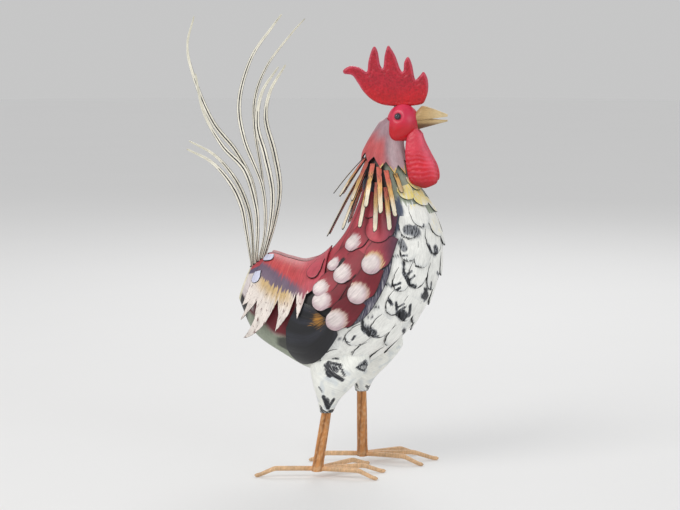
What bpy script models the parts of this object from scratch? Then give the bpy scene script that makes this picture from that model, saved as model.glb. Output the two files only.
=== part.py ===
# Rooster garden statue: a standing cockerel cut, rolled and welded from sheet steel and rod.
# The bird faces +X, its left side is +Y and it stands on the ground plane at z = 0.

import math

import bmesh
import bpy
import numpy as np
from mathutils import Vector

# Lengths are in millimetres and angles in degrees. Each mesh is scaled to metres as it is made.
MM = 0.001

# Stock and fits
SHEET = 1.2  # thickness of the sheet steel
FIT = 0.3  # gap kept where one piece rests on another
SEAT = 1.3  # gap between the body and a sheet bent round it, which its flat facets need

# Body: one row for each station from the open rump to the neck inside the head.
# Each row holds the ridge's x and z, the belly line's x and z, and half the width.
STATIONS = np.array([
    (-87, 270, -103, 227, 20),
    (-63, 285, -83, 184, 40),
    (-37, 279, -44, 156, 52),
    (-13, 275, 0, 135, 60),
    (9, 286, 48, 142, 65),
    (27, 304, 97, 168, 67),
    (40, 323, 134, 210, 66),
    (50, 346, 156, 254, 61),
    (58, 370, 163, 298, 52),
    (60, 394, 153, 343, 39),
    (63, 418, 128, 387, 25),
    (73, 443, 112, 422, 15),
    (85, 464, 110, 449, 11),
], float)
BODY_END = 11.5  # station where the neck core stops inside the head
BODY_RINGS = 21
BODY_SIDES = 22
RUMP_DISH = 14  # depth of the hollow in the open rump
RUMP_RIM = 2.0  # width of the rim round it

# White feathers on the breast and flank: station and angle of the tip, length, width
BREAST_FEATHERS = [
    (9.10, 140, 34, 27),
    (7.72, 146, 46, 34),
    (7.00, 107, 40, 25),
    (6.12, 112, 40, 25),
    (6.50, 128, 46, 30),
    (6.72, 155, 48, 32),
    (5.64, 140, 46, 32),
    (4.80, 126, 44, 30),
]
MIDLINE_FEATHERS = [(9.00, 180, 34, 26), (7.15, 180, 46, 30), (5.55, 180, 46, 32)]
BREAST_ROOT = -2.4  # how deep a breast feather's root is sunk
BREAST_TIP = 2.6  # how far its tip stands off the body

# Wing: a base sheet, rows of station, upper angle and lower angle, with feathers welded on it
WING_SHEET = [
    (4.30, 44, 105),
    (4.90, 33, 105),
    (5.60, 26, 101),
    (6.40, 26, 96),
    (7.20, 28, 89),
    (7.90, 34, 85),
    (8.40, 46, 74),
]
WING_COLUMNS = 7
# Its feathers: station and angle of the tip, length, width, turn of the tip towards the belly
WING_FEATHERS = [
    (7.25, 44, 34, 28, -15),
    (6.70, 62, 44, 38, -18),
    (5.54, 40, 46, 28, -22),
    (5.70, 74, 56, 34, -8),
    (4.29, 42, 46, 26, -3),
    (4.45, 58, 52, 31, 0),
    (4.72, 84, 56, 34, 6),
    (3.43, 60, 50, 26, 14),
    (3.35, 73, 50, 30, 16),
    (3.73, 95, 54, 34, 12),
]
WING_TIP = 6.2  # how far a wing feather's tip stands off the body

# Black flight feathers below the wing: station, upper angle, lower angle
FLIGHT_SHEET = [
    (2.22, 104, 134),
    (2.40, 88, 144),
    (2.65, 73, 148),
    (2.95, 69, 140),
    (3.25, 72, 131),
    (3.60, 83, 119),
    (3.98, 95, 107),
]
FLIGHT_COLUMNS = 9
FLIGHT_RIB = 0.7  # height of the pressed ribs

# Saddle: station on the ridge, station and angle at the cut fringe, lift there
SADDLE = [
    (4.62, 3.95, 50, 2.0),
    (3.80, 3.08, 60, 3.2),
    (3.50, 2.68, 87, 7.0),
    (3.15, 2.62, 60, 4.0),
    (2.85, 2.35, 86, 6.0),
    (2.60, 1.92, 112, 9.0),
    (2.35, 1.98, 92, 7.0),
    (2.15, 1.88, 77, 5.0),
    (1.95, 1.55, 110, 9.0),
    (1.75, 1.02, 152, 17.0),
    (1.60, 1.20, 114, 10.0),
    (1.45, 1.12, 91, 6.0),
    (1.35, 0.90, 112, 8.0),
    (1.25, 0.74, 134, 12.0),
    (1.18, 0.82, 100, 8.0),
    (1.12, 0.60, 114, 9.0),
    (1.06, 0.66, 66, 5.0),
]
SADDLE_SEAT = 1.9  # gap between it and the hollow of the back
SADDLE_RIDGE = 3.0  # angle between the ridge and the saddle's upper edge
SADDLE_ROWS = 6

# Neck collar: a cone of sheet with a toothed lower edge
COLLAR_TOP = 12.1
COLLAR_TOOTH_TIP = 9.72
COLLAR_TOOTH_ROOT = 10.12
COLLAR_THROAT = 1.0  # how many stations higher its edge stands under the chin
COLLAR_TEETH = 13
COLLAR_ROWS = 4
COLLAR_SEAT = 0.7  # gap between the neck core and the collar
COLLAR_FLARE = 3.5  # how much further off its toothed edge stands

# Hackle: narrow strips hung round the neck. Each row holds its name, root station, root lift,
# length and lean at the nape, length and lean at the side, and the strips' angles round the neck
HACKLE_ROWS = [
    ("upper", 9.80, 0.9, 58, 33, 66, 13, (0, 17, 34, 50, 65, 80)),
    ("lower", 9.05, 1.8, 94, 27, 62, 10, (8, 25, 42, 57, 72)),
    ("front", 9.86, 0.9, 28, 10, 28, 10, (100,)),
]
HACKLE_WIDTH = 7.6
HACKLE_TAPER = 0.8  # width of a strip's tip as a share of its root's
HACKLE_SEGMENTS = 3
HACKLE_DROOP = 0.08  # how much of its length a strip's tip sags

# Head
HEAD_CENTRE = (111, 0, 459)
HEAD_RADII = (21.0, 19.5, 24.0)
EAR_LOBE_PLACE = (-0.46, 0.66, -0.60)  # direction from the head's centre, left side
EAR_LOBE_HEIGHT = 0.32  # share of the head's radius
EYE_PLACE = (105, 468)  # x and z
EYE_RADIUS = 3.4

# Comb: outline seen from the right side, x and z, from the rear spike round to the base
COMB = [
    (35, 521), (34, 526), (43, 531), (55, 529), (64, 524), (66, 537), (70, 551), (74, 556),
    (78, 549), (81, 533), (85, 529), (87, 545), (91, 557), (96, 552), (101, 543), (107, 527),
    (111, 525), (112, 536), (117, 543), (122, 533), (126, 515), (132, 519), (137, 524),
    (142, 515), (143, 502), (140, 490), (134, 482.5), (112, 480), (88, 481), (72, 487),
    (60, 498), (52, 510), (45, 519),
]
COMB_THICK = 9.0
COMB_EDGE = 2.6  # width of its rolled edge

# Beak: each row holds x, upper z, lower z and half the width
BEAK_UPPER = [
    (124, 468, 462.6, 9.0),
    (130, 475.5, 462.7, 10.6),
    (136.5, 480.6, 463.2, 10.4),
    (148, 477.6, 464.5, 7.4),
    (159, 473.4, 465.8, 4.2),
    (168, 469.9, 466.9, 1.3),
]
BEAK_LOWER = [
    (124, 461.9, 449, 9.4),
    (135, 461.9, 451.6, 9.0),
    (146, 462.3, 454.6, 6.3),
    (158, 462.6, 458.0, 3.5),
    (168, 462.8, 460.6, 1.1),
]

# Wattle: each row holds z, rear x, front x and half the thickness
WATTLE = [
    (452, 121, 134, 3.0),
    (437, 116, 138, 4.6),
    (420, 115, 146, 5.4),
    (402, 117, 155, 5.8),
    (386, 121, 157, 5.2),
    (377, 130, 150, 3.0),
]
WATTLE_SIDE = 11.5  # its top's distance from the bird's middle
WATTLE_SPLAY = 12.5  # how much further out its bottom hangs

# Tail plumes: y at the base and at the tip, share of the full width, then x and z along the plume
PLUMES = [
    (-4.5, -18, 1.0, [
        (-86, 274), (-92, 315), (-98, 350), (-112, 380), (-136, 407), (-168, 424),
    ]),
    (4.5, 16, 0.9, [
        (-85, 274), (-87, 315), (-93, 347), (-109, 382), (-136, 413), (-171, 432),
    ]),
    (-4.5, -10, 1.0, [
        (-81.5, 275), (-78, 315), (-80, 350), (-94, 396), (-123, 428), (-147, 472), (-157, 521),
    ]),
    (4.5, 12, 0.9, [
        (-80.5, 275), (-79, 324), (-86, 378), (-108, 420), (-137, 456), (-159, 505), (-171, 553),
        (-162, 594),
    ]),
    (-4.5, -14, 0.85, [
        (-77, 276), (-68, 320), (-71, 375), (-94, 436), (-100, 486), (-84, 541), (-57, 580),
        (-44, 597),
    ]),
    (4.5, 18, 0.65, [
        (-76, 276), (-68, 331), (-74, 390), (-83, 450), (-82, 492), (-66, 532), (-36, 571),
        (-18, 591),
    ]),
    (-4.5, -9, 1.05, [
        (-72.5, 279), (-62, 320), (-58, 367), (-67, 415), (-77, 455), (-71, 496), (-49, 530),
    ]),
    (4.5, 8, 1.05, [
        (-71.5, 279), (-57, 327), (-50, 372), (-57, 418), (-68, 462), (-62, 498), (-42, 532),
    ]),
]
PLUME_WIDTHS = (3.4, 5.6, 7.2, 5.0, 2.4)  # along the plume, from base to tip
PLUME_THICK = 1.8
PLUME_SEGMENTS = 12
PLUME_GAP = 0.4  # gap between a plume's foot and the back

# Legs and toes. Ankle is where the leg meets the toes, thigh_foot is where it meets the thigh,
# and each toe has its heading and its length from the leg's middle
RIGHT = {
    "ankle": (4, -38),
    "thigh_foot": (16, -40, 86),
    "toes": {"outer": (-9, 81), "middle": (20, 92), "inner": (51, 97), "back": (188, 82)},
}
LEFT = {
    "ankle": (54, 54),
    "thigh_foot": (54, 42, 99),
    "toes": {"outer": (33, 87), "middle": (10, 103), "inner": (-14, 86), "back": (187, 72)},
}
LEG_RADIUS = 6.3
LEG_FOOT_RADIUS = 8.2  # where the leg is welded to the toes
LEG_FLUTE = 0.7  # depth of the flutes between the rods that make it
LEG_FLUTES = 4
LEG_TWIST = 25
TOE_RADIUS = 3.3
TOE_START = 9.0  # distance of a toe's root from the leg's middle
TOE_HEIGHT = 11.0  # height of a toe's middle line over the ground
TOE_BEND = 2.4  # how much higher than its end a toe is where it levels out
TOE_SIDES = 8

# Thigh: each row holds height over the leg's top, forward shift, sideways shift to the middle, x and y radii
THIGH = [
    (0.4, 0, 0, 8.4, 7.8),
    (18, 3, -1, 15, 12.5),
    (36, 9, -1, 26, 18),
    (56, 15, 3, 36, 21),
    (78, 22, 11, 40, 19),
]
THIGH_SIDES = 18

PAINTS = {
    "white_paint": ((0.80, 0.80, 0.76), 0.45),
    "red_paint": ((0.55, 0.03, 0.06), 0.40),
    "maroon_paint": ((0.42, 0.06, 0.09), 0.45),
    "black_paint": ((0.02, 0.02, 0.02), 0.40),
    "neck_paint": ((0.45, 0.22, 0.24), 0.50),
    "hackle_paint": ((0.72, 0.50, 0.34), 0.50),
    "plume_paint": ((0.66, 0.65, 0.55), 0.50),
    "beak_paint": ((0.60, 0.42, 0.22), 0.45),
    "leg_paint": ((0.50, 0.28, 0.11), 0.45),
    "eye_enamel": ((0.02, 0.02, 0.03), 0.10),
}


def clear_scene():
    for obj in list(bpy.data.objects):
        bpy.data.objects.remove(obj)


def paint(name):
    found = bpy.data.materials.get(name)
    if found:
        return found
    colour, roughness = PAINTS[name]
    material = bpy.data.materials.new(name)
    material.use_nodes = True
    shader = material.node_tree.nodes["Principled BSDF"]
    shader.inputs["Base Color"].default_value = (*colour, 1)
    shader.inputs["Roughness"].default_value = roughness
    shader.inputs["Metallic"].default_value = 0.0
    return material


def add_solid(name, points, faces, paint_name, origin=(0, 0, 0)):
    """A mesh object from points in millimetres, with its origin at the given point and its faces outward."""
    start = Vector(origin)
    mesh = bpy.data.meshes.new(name)
    mesh.from_pydata([(Vector(p) - start) * MM for p in points], [], faces)
    shell = bmesh.new()
    shell.from_mesh(mesh)
    bmesh.ops.recalc_face_normals(shell, faces=shell.faces)
    if shell.calc_volume(signed=True) < 0:
        bmesh.ops.reverse_faces(shell, faces=shell.faces)
    bmesh.ops.triangulate(shell, faces=[f for f in shell.faces if len(f.verts) == 4])
    shell.to_mesh(mesh)
    shell.free()
    mesh.shade_smooth()
    mesh.set_sharp_from_angle(angle=math.radians(35))
    mesh.materials.append(paint(paint_name))
    obj = bpy.data.objects.new(name, mesh)
    obj.location = start * MM
    bpy.context.scene.collection.objects.link(obj)
    return obj


def as_helper(obj):
    obj.hide_render = True
    obj.display_type = "WIRE"
    return obj


def combine(obj, tool, operation):
    modifier = obj.modifiers.new(f"{operation.lower()}_{tool.name}", "BOOLEAN")
    modifier.operation = operation
    modifier.object = as_helper(tool)


def spline(rows, t):
    """Point at t of the smooth curve through the rows, one row for each whole number."""
    last = len(rows) - 1
    i = min(max(math.floor(t), 0), last - 1)
    f = t - i
    p1, p2 = rows[i], rows[i + 1]
    p0 = rows[i - 1] if i > 0 else 2 * p1 - p2
    p3 = rows[i + 2] if i + 2 <= last else 2 * p2 - p1
    bend = (p2 - p0) * f + (2 * p0 - 5 * p1 + 4 * p2 - p3) * f**2 + (3 * p1 - p0 - 3 * p2 + p3) * f**3
    return p1 + bend / 2


def skin_point(station, angle):
    """Point of the body's skin. The angle is from the ridge, positive on the left side."""
    ridge_x, ridge_z, belly_x, belly_z, half_width = spline(STATIONS, station)
    across = math.cos(math.radians(angle))
    return np.array([
        (ridge_x + belly_x) / 2 + (ridge_x - belly_x) / 2 * across,
        half_width * math.sin(math.radians(angle)),
        (ridge_z + belly_z) / 2 + (ridge_z - belly_z) / 2 * across,
    ])


def skin_slopes(station, angle):
    """How far the skin point moves for one station and for one degree."""
    step = 0.02
    along = (skin_point(station + step, angle) - skin_point(station - step, angle)) / (2 * step)
    around = (skin_point(station, angle + step) - skin_point(station, angle - step)) / (2 * step)
    return along, around


def skin_normal(station, angle):
    normal = np.cross(*skin_slopes(station, angle))
    return normal / np.linalg.norm(normal)


def off_skin(station, angle, lift):
    return skin_point(station, angle) + skin_normal(station, angle) * lift


def back_height(x, y):
    """Height of the skin on the bird's back over the given place."""
    low, high = -0.6, 4.0
    for _ in range(40):
        station = (low + high) / 2
        half_width = spline(STATIONS, station)[4]
        point = skin_point(station, math.degrees(math.asin(y / half_width)))
        low, high = (station, high) if point[0] < x else (low, station)
    return point[2]


def loft(rings):
    """Points and faces of a closed solid through rings of points, its ends closed to a middle point."""
    count = len(rings[0])
    points = [tuple(p) for ring in rings for p in ring]
    faces = []
    for i in range(len(rings) - 1):
        for j in range(count):
            k = (j + 1) % count
            faces.append((i * count + j, i * count + k, (i + 1) * count + k, (i + 1) * count + j))
    for first, ring in ((0, rings[0]), ((len(rings) - 1) * count, rings[-1])):
        points.append(tuple(np.mean(ring, axis=0)))
        faces += [(first + j, first + (j + 1) % count, len(points) - 1) for j in range(count)]
    return points, faces


def plate(lower, upper):
    """Points and faces of a thin closed plate between two grids of points."""
    rows, columns = len(lower), len(lower[0])
    points = [tuple(p) for grid in (lower, upper) for row in grid for p in row]
    top = rows * columns
    faces = []
    for i in range(rows - 1):
        for j in range(columns - 1):
            corner = [i * columns + j, i * columns + j + 1, (i + 1) * columns + j + 1, (i + 1) * columns + j]
            faces += [tuple(corner), tuple(c + top for c in corner)]
    rim = [j for j in range(columns)]
    rim += [i * columns + columns - 1 for i in range(1, rows)]
    rim += [(rows - 1) * columns + j for j in range(columns - 2, -1, -1)]
    rim += [i * columns for i in range(rows - 2, 0, -1)]
    for a, b in zip(rim, rim[1:] + rim[:1]):
        faces.append((a, b, b + top, a + top))
    return points, faces


def skin_plate(grid, thickness=SHEET):
    """A plate that follows the skin. The grid's rows hold station, angle and the lift of the lower face."""
    lower = [[off_skin(u, v, lift) for u, v, lift in row] for row in grid]
    upper = [[off_skin(u, v, lift + thickness) for u, v, lift in row] for row in grid]
    return plate(lower, upper)


def body_rings(lift, first, last, count, sides=BODY_SIDES):
    return [
        [off_skin(u, 360 * (j + 0.5) / sides, lift) for j in range(sides)]
        for u in np.linspace(first, last, count)
    ]


def feather_grid(station, angle, length, width, root_lift, tip_lift, turn=0):
    """A round-ended feather lying on the skin, its tip towards the rump or turned towards the belly."""
    along, around = skin_slopes(station + 0.4, angle)
    to_rump = -along / np.linalg.norm(along)
    to_belly = np.cross(skin_normal(station + 0.4, angle), to_rump) * (-1 if angle > 0 else 1)
    turn = math.radians(turn)
    to_tip = to_rump * math.cos(turn) + to_belly * math.sin(turn)
    to_side = to_belly * math.cos(turn) - to_rump * math.sin(turn)
    on_skin = np.linalg.pinv(np.array([along, around]).T)  # turns a step in space into station and angle
    shares = (0.0, 0.58, 0.88, 1.0)  # from root to tip
    widths = (0.82, 1.0, 0.78, 0.30)
    grid = []
    for share, part in zip(shares, widths):
        row = []
        for side in (-1, 0, 1):
            step = to_side * side * part * width / 2 - to_tip * length * (1 - share)
            u, v = on_skin @ step
            row.append((station + u, angle + v, root_lift + (tip_lift - root_lift) * share))
        grid.append(row)
    return grid


def breast_feathers():
    """Station, angle, length and width of every feather on the breast, both sides."""
    pairs = [(u, side * v, length, width) for u, v, length, width in BREAST_FEATHERS for side in (-1, 1)]
    return pairs + MIDLINE_FEATHERS


def make_body_room():
    """Shapes of the body and its lower feathers, larger by the fit, which cut the thighs."""
    rooms = [add_solid("body_room", *loft(body_rings(1.4 * FIT, 0, BODY_END, BODY_RINGS)), "white_paint")]
    for n, (u, v, length, width) in enumerate(breast_feathers()):
        if u < 6.3:
            grid = feather_grid(u - 0.02, v, length, width + 4 * FIT, BREAST_ROOT, BREAST_TIP - FIT)
            rooms.append(add_solid(f"feather_room_{n}", *skin_plate(grid, SHEET + 2 * FIT), "white_paint"))
    return rooms


def make_body():
    rings = body_rings(0, 0, BODY_END, BODY_RINGS)
    floor = skin_point(RUMP_DISH / np.linalg.norm(skin_slopes(0, 90)[0]), 0)
    middle = (skin_point(0, 0) + skin_point(0, 180)) / 2
    rim = [middle + (p - middle) * (1 - RUMP_RIM / np.linalg.norm(p - middle)) for p in rings[0]]
    inward = skin_slopes(0, 0)[0] + skin_slopes(0, 180)[0]
    inward = inward / np.linalg.norm(inward) * RUMP_DISH
    dish = [middle + inward + (p - middle) * 0.75 for p in rim]
    body = add_solid("body", *loft([dish, rim, *rings]), "white_paint")
    for n, (u, v, length, width) in enumerate(breast_feathers()):
        grid = feather_grid(u, v, length, width, BREAST_ROOT, BREAST_TIP)
        feather = add_solid(f"breast_feather_{n}", *skin_plate(grid), "white_paint")
        combine(body, feather, "UNION")
    return body


def make_wing(side, name):
    grid = []
    for u, upper, lower in WING_SHEET:
        angles = np.linspace(upper, lower, WING_COLUMNS)
        grid.append([(u, side * v, SEAT) for v in angles])
    wing = add_solid(name, *skin_plate(grid), "maroon_paint")
    for n, (u, v, length, width, turn) in enumerate(WING_FEATHERS):
        feather = feather_grid(u, side * v, length, width, SEAT + SHEET / 2, WING_TIP - SHEET, turn)
        tool = add_solid(f"{name}_feather_{n}", *skin_plate(feather), "maroon_paint")
        combine(wing, tool, "UNION")
    return wing


def make_flight_feathers(side, name):
    grid = []
    for u, upper, lower in FLIGHT_SHEET:
        angles = np.linspace(upper, lower, FLIGHT_COLUMNS)
        grid.append([(u, side * v, SEAT + FLIGHT_RIB * (j % 2)) for j, v in enumerate(angles)])
    return add_solid(name, *skin_plate(grid), "black_paint")


def make_saddle(side, name):
    grid = []
    for ridge_u, edge_u, edge_v, edge_lift in SADDLE:
        row = []
        for share in np.linspace(0, 1, SADDLE_ROWS):
            u = ridge_u + (edge_u - ridge_u) * share
            v = SADDLE_RIDGE + (edge_v - SADDLE_RIDGE) * share
            row.append((u, side * v, SADDLE_SEAT + (edge_lift - SADDLE_SEAT) * share**2))
        grid.append(row)
    return add_solid(name, *skin_plate(grid), "maroon_paint")


def collar_rings(lift, top):
    """Rings of the neck collar at a lift over its seat, from the toothed edge up."""
    count = 2 * COLLAR_TEETH
    rings = []
    for share in np.linspace(0, 1, COLLAR_ROWS):
        ring = []
        for j in range(count):
            front = (1 - math.cos(2 * math.pi * j / count)) / 2
            edge = (COLLAR_TOOTH_TIP if j % 2 else COLLAR_TOOTH_ROOT) + COLLAR_THROAT * front**6
            flare = COLLAR_FLARE * (1 - front**3) * (1 - share) ** 2
            ring.append(off_skin(edge + (top - edge) * share, 360 * j / count, COLLAR_SEAT + flare + lift))
        rings.append(ring)
    return rings


def make_collar():
    # The rings run up the inside and down the outside, and the last is joined to the first.
    rings = collar_rings(0, COLLAR_TOP) + collar_rings(SHEET, COLLAR_TOP)[::-1]
    count = len(rings[0])
    points = [tuple(p) for ring in rings for p in ring]
    faces = []
    for i in range(len(rings)):
        n = (i + 1) % len(rings)
        for j in range(count):
            k = (j + 1) % count
            faces.append((i * count + j, i * count + k, n * count + k, n * count + j))
    return add_solid("neck_collar", points, faces, "neck_paint")


def hackle_path(root_u, root_lift, angle, length, lean):
    """Middle line of a neck strip: down the skin, leaning outward, its tip sagging a little."""
    root = off_skin(root_u, angle, root_lift)
    down = -skin_slopes(root_u, angle)[0]
    down = down / np.linalg.norm(down)
    out = skin_normal(root_u, angle)
    lean = math.radians(lean)
    path = []
    for n in range(HACKLE_SEGMENTS + 1):
        share = n / HACKLE_SEGMENTS
        reach = length * share
        sag = HACKLE_DROOP * length * share**2
        path.append(root + (down * math.cos(lean) + out * math.sin(lean)) * reach + np.array([0, 0, -sag]))
    return path


def strip(path, across, widths, thickness):
    """Points and faces of a flat strip along a path, its width along the across direction."""
    rings = []
    for n, p in enumerate(path):
        tangent = path[min(n + 1, len(path) - 1)] - path[max(n - 1, 0)]
        side = across - tangent * (across @ tangent) / (tangent @ tangent)
        side = side / np.linalg.norm(side)
        face = np.cross(tangent, side)
        face = face / np.linalg.norm(face)
        w, t = side * widths[n] / 2, face * thickness / 2
        rings.append([p + w + t, p - w + t, p - w - t, p + w - t])
    return loft(rings)


def make_hackle():
    for row, root_u, root_lift, nape_length, nape_lean, side_length, side_lean, angles in HACKLE_ROWS:
        number = 0
        for angle in angles:
            share = min(angle, 70) / 70
            length = nape_length + (side_length - nape_length) * share
            lean = nape_lean + (side_lean - nape_lean) * share
            for side in (1, -1) if angle else (1,):
                number += 1
                path = hackle_path(root_u, root_lift + SHEET / 2, side * angle, length, lean)
                across = skin_slopes(root_u, side * angle)[1]
                widths = np.linspace(HACKLE_WIDTH, HACKLE_WIDTH * HACKLE_TAPER, len(path))
                add_solid(f"hackle_{row}_{number}", *strip(path, across, widths, SHEET), "hackle_paint")


def ball(centre, radii, grow=0.0, rings=11, sides=16, lobes=()):
    """Rings of an ellipsoid, grown by a length, with rounded lobes pushed out of it."""
    made = []
    for i in range(1, rings):
        tilt = math.pi * i / rings
        ring = []
        for j in range(sides):
            turn = 2 * math.pi * j / sides
            d = np.array([math.sin(tilt) * math.cos(turn), math.sin(tilt) * math.sin(turn), math.cos(tilt)])
            push = 1 + sum(height * math.exp(-((1 - d @ place) / 0.09)) for place, height in lobes)
            ring.append(np.array(centre) + d * (np.array(radii) * push + grow))
        made.append(ring)
    tips = [np.array(centre) + np.array([0, 0, s * (radii[2] + grow)]) for s in (1, -1)]
    points = [tuple(p) for ring in made for p in ring] + [tuple(p) for p in tips]
    faces = []
    for i in range(len(made) - 1):
        for j in range(sides):
            k = (j + 1) % sides
            faces.append((i * sides + j, i * sides + k, (i + 1) * sides + k, (i + 1) * sides + j))
    last = (len(made) - 1) * sides
    for j in range(sides):
        k = (j + 1) % sides
        faces.append((j, k, len(points) - 2))
        faces.append((last + j, last + k, len(points) - 1))
    return points, faces


def head_solid(grow):
    lobes = []
    for side in (1, -1):
        place = np.array(EAR_LOBE_PLACE) * (1, side, 1)
        lobes.append((place / np.linalg.norm(place), EAR_LOBE_HEIGHT))
    return ball(HEAD_CENTRE, HEAD_RADII, grow, lobes=lobes)


def make_head(neck_plug):
    head = add_solid("head", *head_solid(0), "red_paint")
    combine(head, neck_plug, "DIFFERENCE")
    return head


def make_comb(head_room):
    outline = np.array(COMB, float)
    before, after = np.roll(outline, 1, axis=0), np.roll(outline, -1, axis=0)
    rings = []
    turning = []
    for p, a, b in zip(outline, before, after):
        to_a, to_b = (a - p) / np.linalg.norm(a - p), (b - p) / np.linalg.norm(b - p)
        normal = np.array([to_b[1] - to_a[1], to_a[0] - to_b[0]])
        turning.append(normal / np.linalg.norm(normal))
    inset = outline + np.array(turning) * COMB_EDGE
    area = sum(p[0] * q[1] - q[0] * p[1] for p, q in zip(outline, after))
    shrunk = sum(p[0] * q[1] - q[0] * p[1] for p, q in zip(inset, np.roll(inset, -1, axis=0)))
    if abs(shrunk) > abs(area):
        inset = outline - np.array(turning) * COMB_EDGE
    half = COMB_THICK / 2
    for shape, y in ((inset, -half), (outline, -half * 0.25), (outline, half * 0.25), (inset, half)):
        rings.append([(x, y, z) for x, z in shape])
    count = len(outline)
    points = [p for ring in rings for p in ring]
    faces = [tuple(range(count)), tuple(range(3 * count, 4 * count))]
    for i in range(3):
        for j in range(count):
            k = (j + 1) % count
            faces.append((i * count + j, i * count + k, (i + 1) * count + k, (i + 1) * count + j))
    comb = add_solid("comb", points, faces, "red_paint")
    combine(comb, head_room, "DIFFERENCE")
    return comb


def beak_half(rows, arch_up):
    """Rings of half a beak: an arch on one side and flat on the other."""
    rings = []
    for x, top, bottom, half_width in rows:
        flat, peak = (bottom, top) if arch_up else (top, bottom)
        ring = []
        for n in range(8):
            turn = math.pi * n / 7
            ring.append((x, half_width * math.cos(turn), flat + (peak - flat) * math.sin(turn)))
        rings.append(ring)
    return loft(rings)


def make_beak(head_room):
    for name, rows, arch_up in (("beak_upper", BEAK_UPPER, True), ("beak_lower", BEAK_LOWER, False)):
        beak = add_solid(name, *beak_half(rows, arch_up), "beak_paint")
        combine(beak, head_room, "DIFFERENCE")


def make_wattle(side, name, head_room):
    rings = []
    for z, rear, front, half_thick in WATTLE:
        lowered = (WATTLE[0][0] - z) / (WATTLE[0][0] - WATTLE[-1][0])
        y = side * (WATTLE_SIDE + WATTLE_SPLAY * lowered)
        ring = []
        for n in range(12):
            turn = 2 * math.pi * n / 12
            x = (rear + front) / 2 + (front - rear) / 2 * math.cos(turn)
            ring.append((x, y + half_thick * math.sin(turn), z))
        rings.append(ring)
    wattle = add_solid(name, *loft(rings), "red_paint")
    combine(wattle, head_room, "DIFFERENCE")


def make_eye(side, name, head_room):
    x, z = EYE_PLACE
    inside = 1 - ((x - HEAD_CENTRE[0]) / HEAD_RADII[0]) ** 2 - ((z - HEAD_CENTRE[2]) / HEAD_RADII[2]) ** 2
    place = (x, side * (HEAD_RADII[1] * math.sqrt(inside) + EYE_RADIUS * 0.15), z)
    eye = add_solid(name, *ball(place, (EYE_RADIUS,) * 3, rings=6, sides=8), "eye_enamel", place)
    combine(eye, head_room, "DIFFERENCE")


def make_plume(number, base_y, tip_y, breadth, line):
    line = np.array(line, float)
    path, widths = [], []
    for n in range(PLUME_SEGMENTS + 1):
        share = n / PLUME_SEGMENTS
        x, z = spline(line, share * (len(line) - 1))
        path.append(np.array([x, base_y + (tip_y - base_y) * share, z]))
        widths.append(breadth * spline(np.array(PLUME_WIDTHS), share * (len(PLUME_WIDTHS) - 1)))
    across = []
    for n in range(len(path)):
        tangent = path[min(n + 1, len(path) - 1)] - path[max(n - 1, 0)]
        across.append(np.array([tangent[2], 0, -tangent[0]]))
    rings = []
    for p, side, width in zip(path, across, widths):
        side = side / np.linalg.norm(side) * width / 2
        thick = np.array([0, PLUME_THICK / 2, 0])
        rings.append([p + side + thick, p - side + thick, p - side - thick, p + side - thick])
    rings[0] = [(x, y, back_height(x, y) + PLUME_GAP) for x, y, z in rings[0]]
    add_solid(f"tail_plume_{number}", *loft(rings), "plume_paint")


def make_thigh(leg, side, name, rooms):
    x0, y0, z0 = leg["thigh_foot"]
    rings = []
    for rise, forward, inward, rx, ry in THIGH:
        ring = []
        for n in range(THIGH_SIDES):
            turn = 2 * math.pi * n / THIGH_SIDES
            x = x0 + forward + rx * math.cos(turn)
            y = y0 - side * inward + ry * math.sin(turn)
            ring.append((x, y, z0 + rise))
        rings.append(ring)
    thigh = add_solid(name, *loft(rings), "white_paint")
    for room in rooms:
        combine(thigh, room, "DIFFERENCE")


def make_leg(leg, name):
    ax, ay = leg["ankle"]
    tx, ty, tz = leg["thigh_foot"]
    rings = []
    foot_top = TOE_HEIGHT + TOE_RADIUS
    levels = [(TOE_HEIGHT - TOE_RADIUS, 0.9), (foot_top - 1, 1.0), (foot_top + 3, 0.45), (foot_top + 8, 0.0)]
    levels += [(z, 0.0) for z in np.linspace(foot_top + 20, tz, 4)]
    for z, flare in levels:
        share = (z - TOE_HEIGHT) / (tz - TOE_HEIGHT)
        ring = []
        for n in range(LEG_FLUTES * 3):
            turn = 2 * math.pi * n / (LEG_FLUTES * 3)
            flute = LEG_FLUTE * (1 - flare) * math.cos(LEG_FLUTES * turn)
            radius = LEG_RADIUS + flute + (LEG_FOOT_RADIUS - LEG_RADIUS) * flare
            turned = turn + math.radians(LEG_TWIST) * share
            x = ax + (tx - ax) * share + radius * math.cos(turned)
            y = ay + (ty - ay) * share + radius * math.sin(turned)
            ring.append((x, y, z))
        rings.append(ring)
    add_solid(name, *loft(rings), "leg_paint", (ax, ay, 0))


def make_toe(leg, name, heading, length):
    """A rod that leaves the leg level and bends down to rest its flattened end on the ground."""
    out = np.array([math.cos(math.radians(heading)), math.sin(math.radians(heading)), 0])
    side = np.array([-out[1], out[0], 0])
    flat = math.cos(math.pi / TOE_SIDES)  # from the middle line to a flat of the rod
    start = np.array([*leg["ankle"], 0.0]) + out * TOE_START
    reach = length - TOE_START
    end_radius = TOE_RADIUS * 0.82
    rows = [
        (0.0, TOE_HEIGHT, 0.5),
        (0.16, TOE_HEIGHT + 0.3, 0.98),
        (0.64, TOE_HEIGHT + 0.5, 1.0),
        (0.85, end_radius * flat + TOE_BEND, 0.9),
        (0.93, end_radius * flat, 0.82),
        (1.0, end_radius * flat, 0.82),
    ]
    rings = []
    for share, height, size in rows:
        middle = start + out * reach * share + np.array([0, 0, height])
        ring = []
        for n in range(TOE_SIDES):
            turn = 2 * math.pi * (n + 0.5) / TOE_SIDES
            radius = TOE_RADIUS * size
            ring.append(middle + side * radius * math.cos(turn) + np.array([0, 0, radius * math.sin(turn)]))
        rings.append(ring)
    add_solid(name, *loft(rings), "leg_paint", tuple(start))


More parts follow.
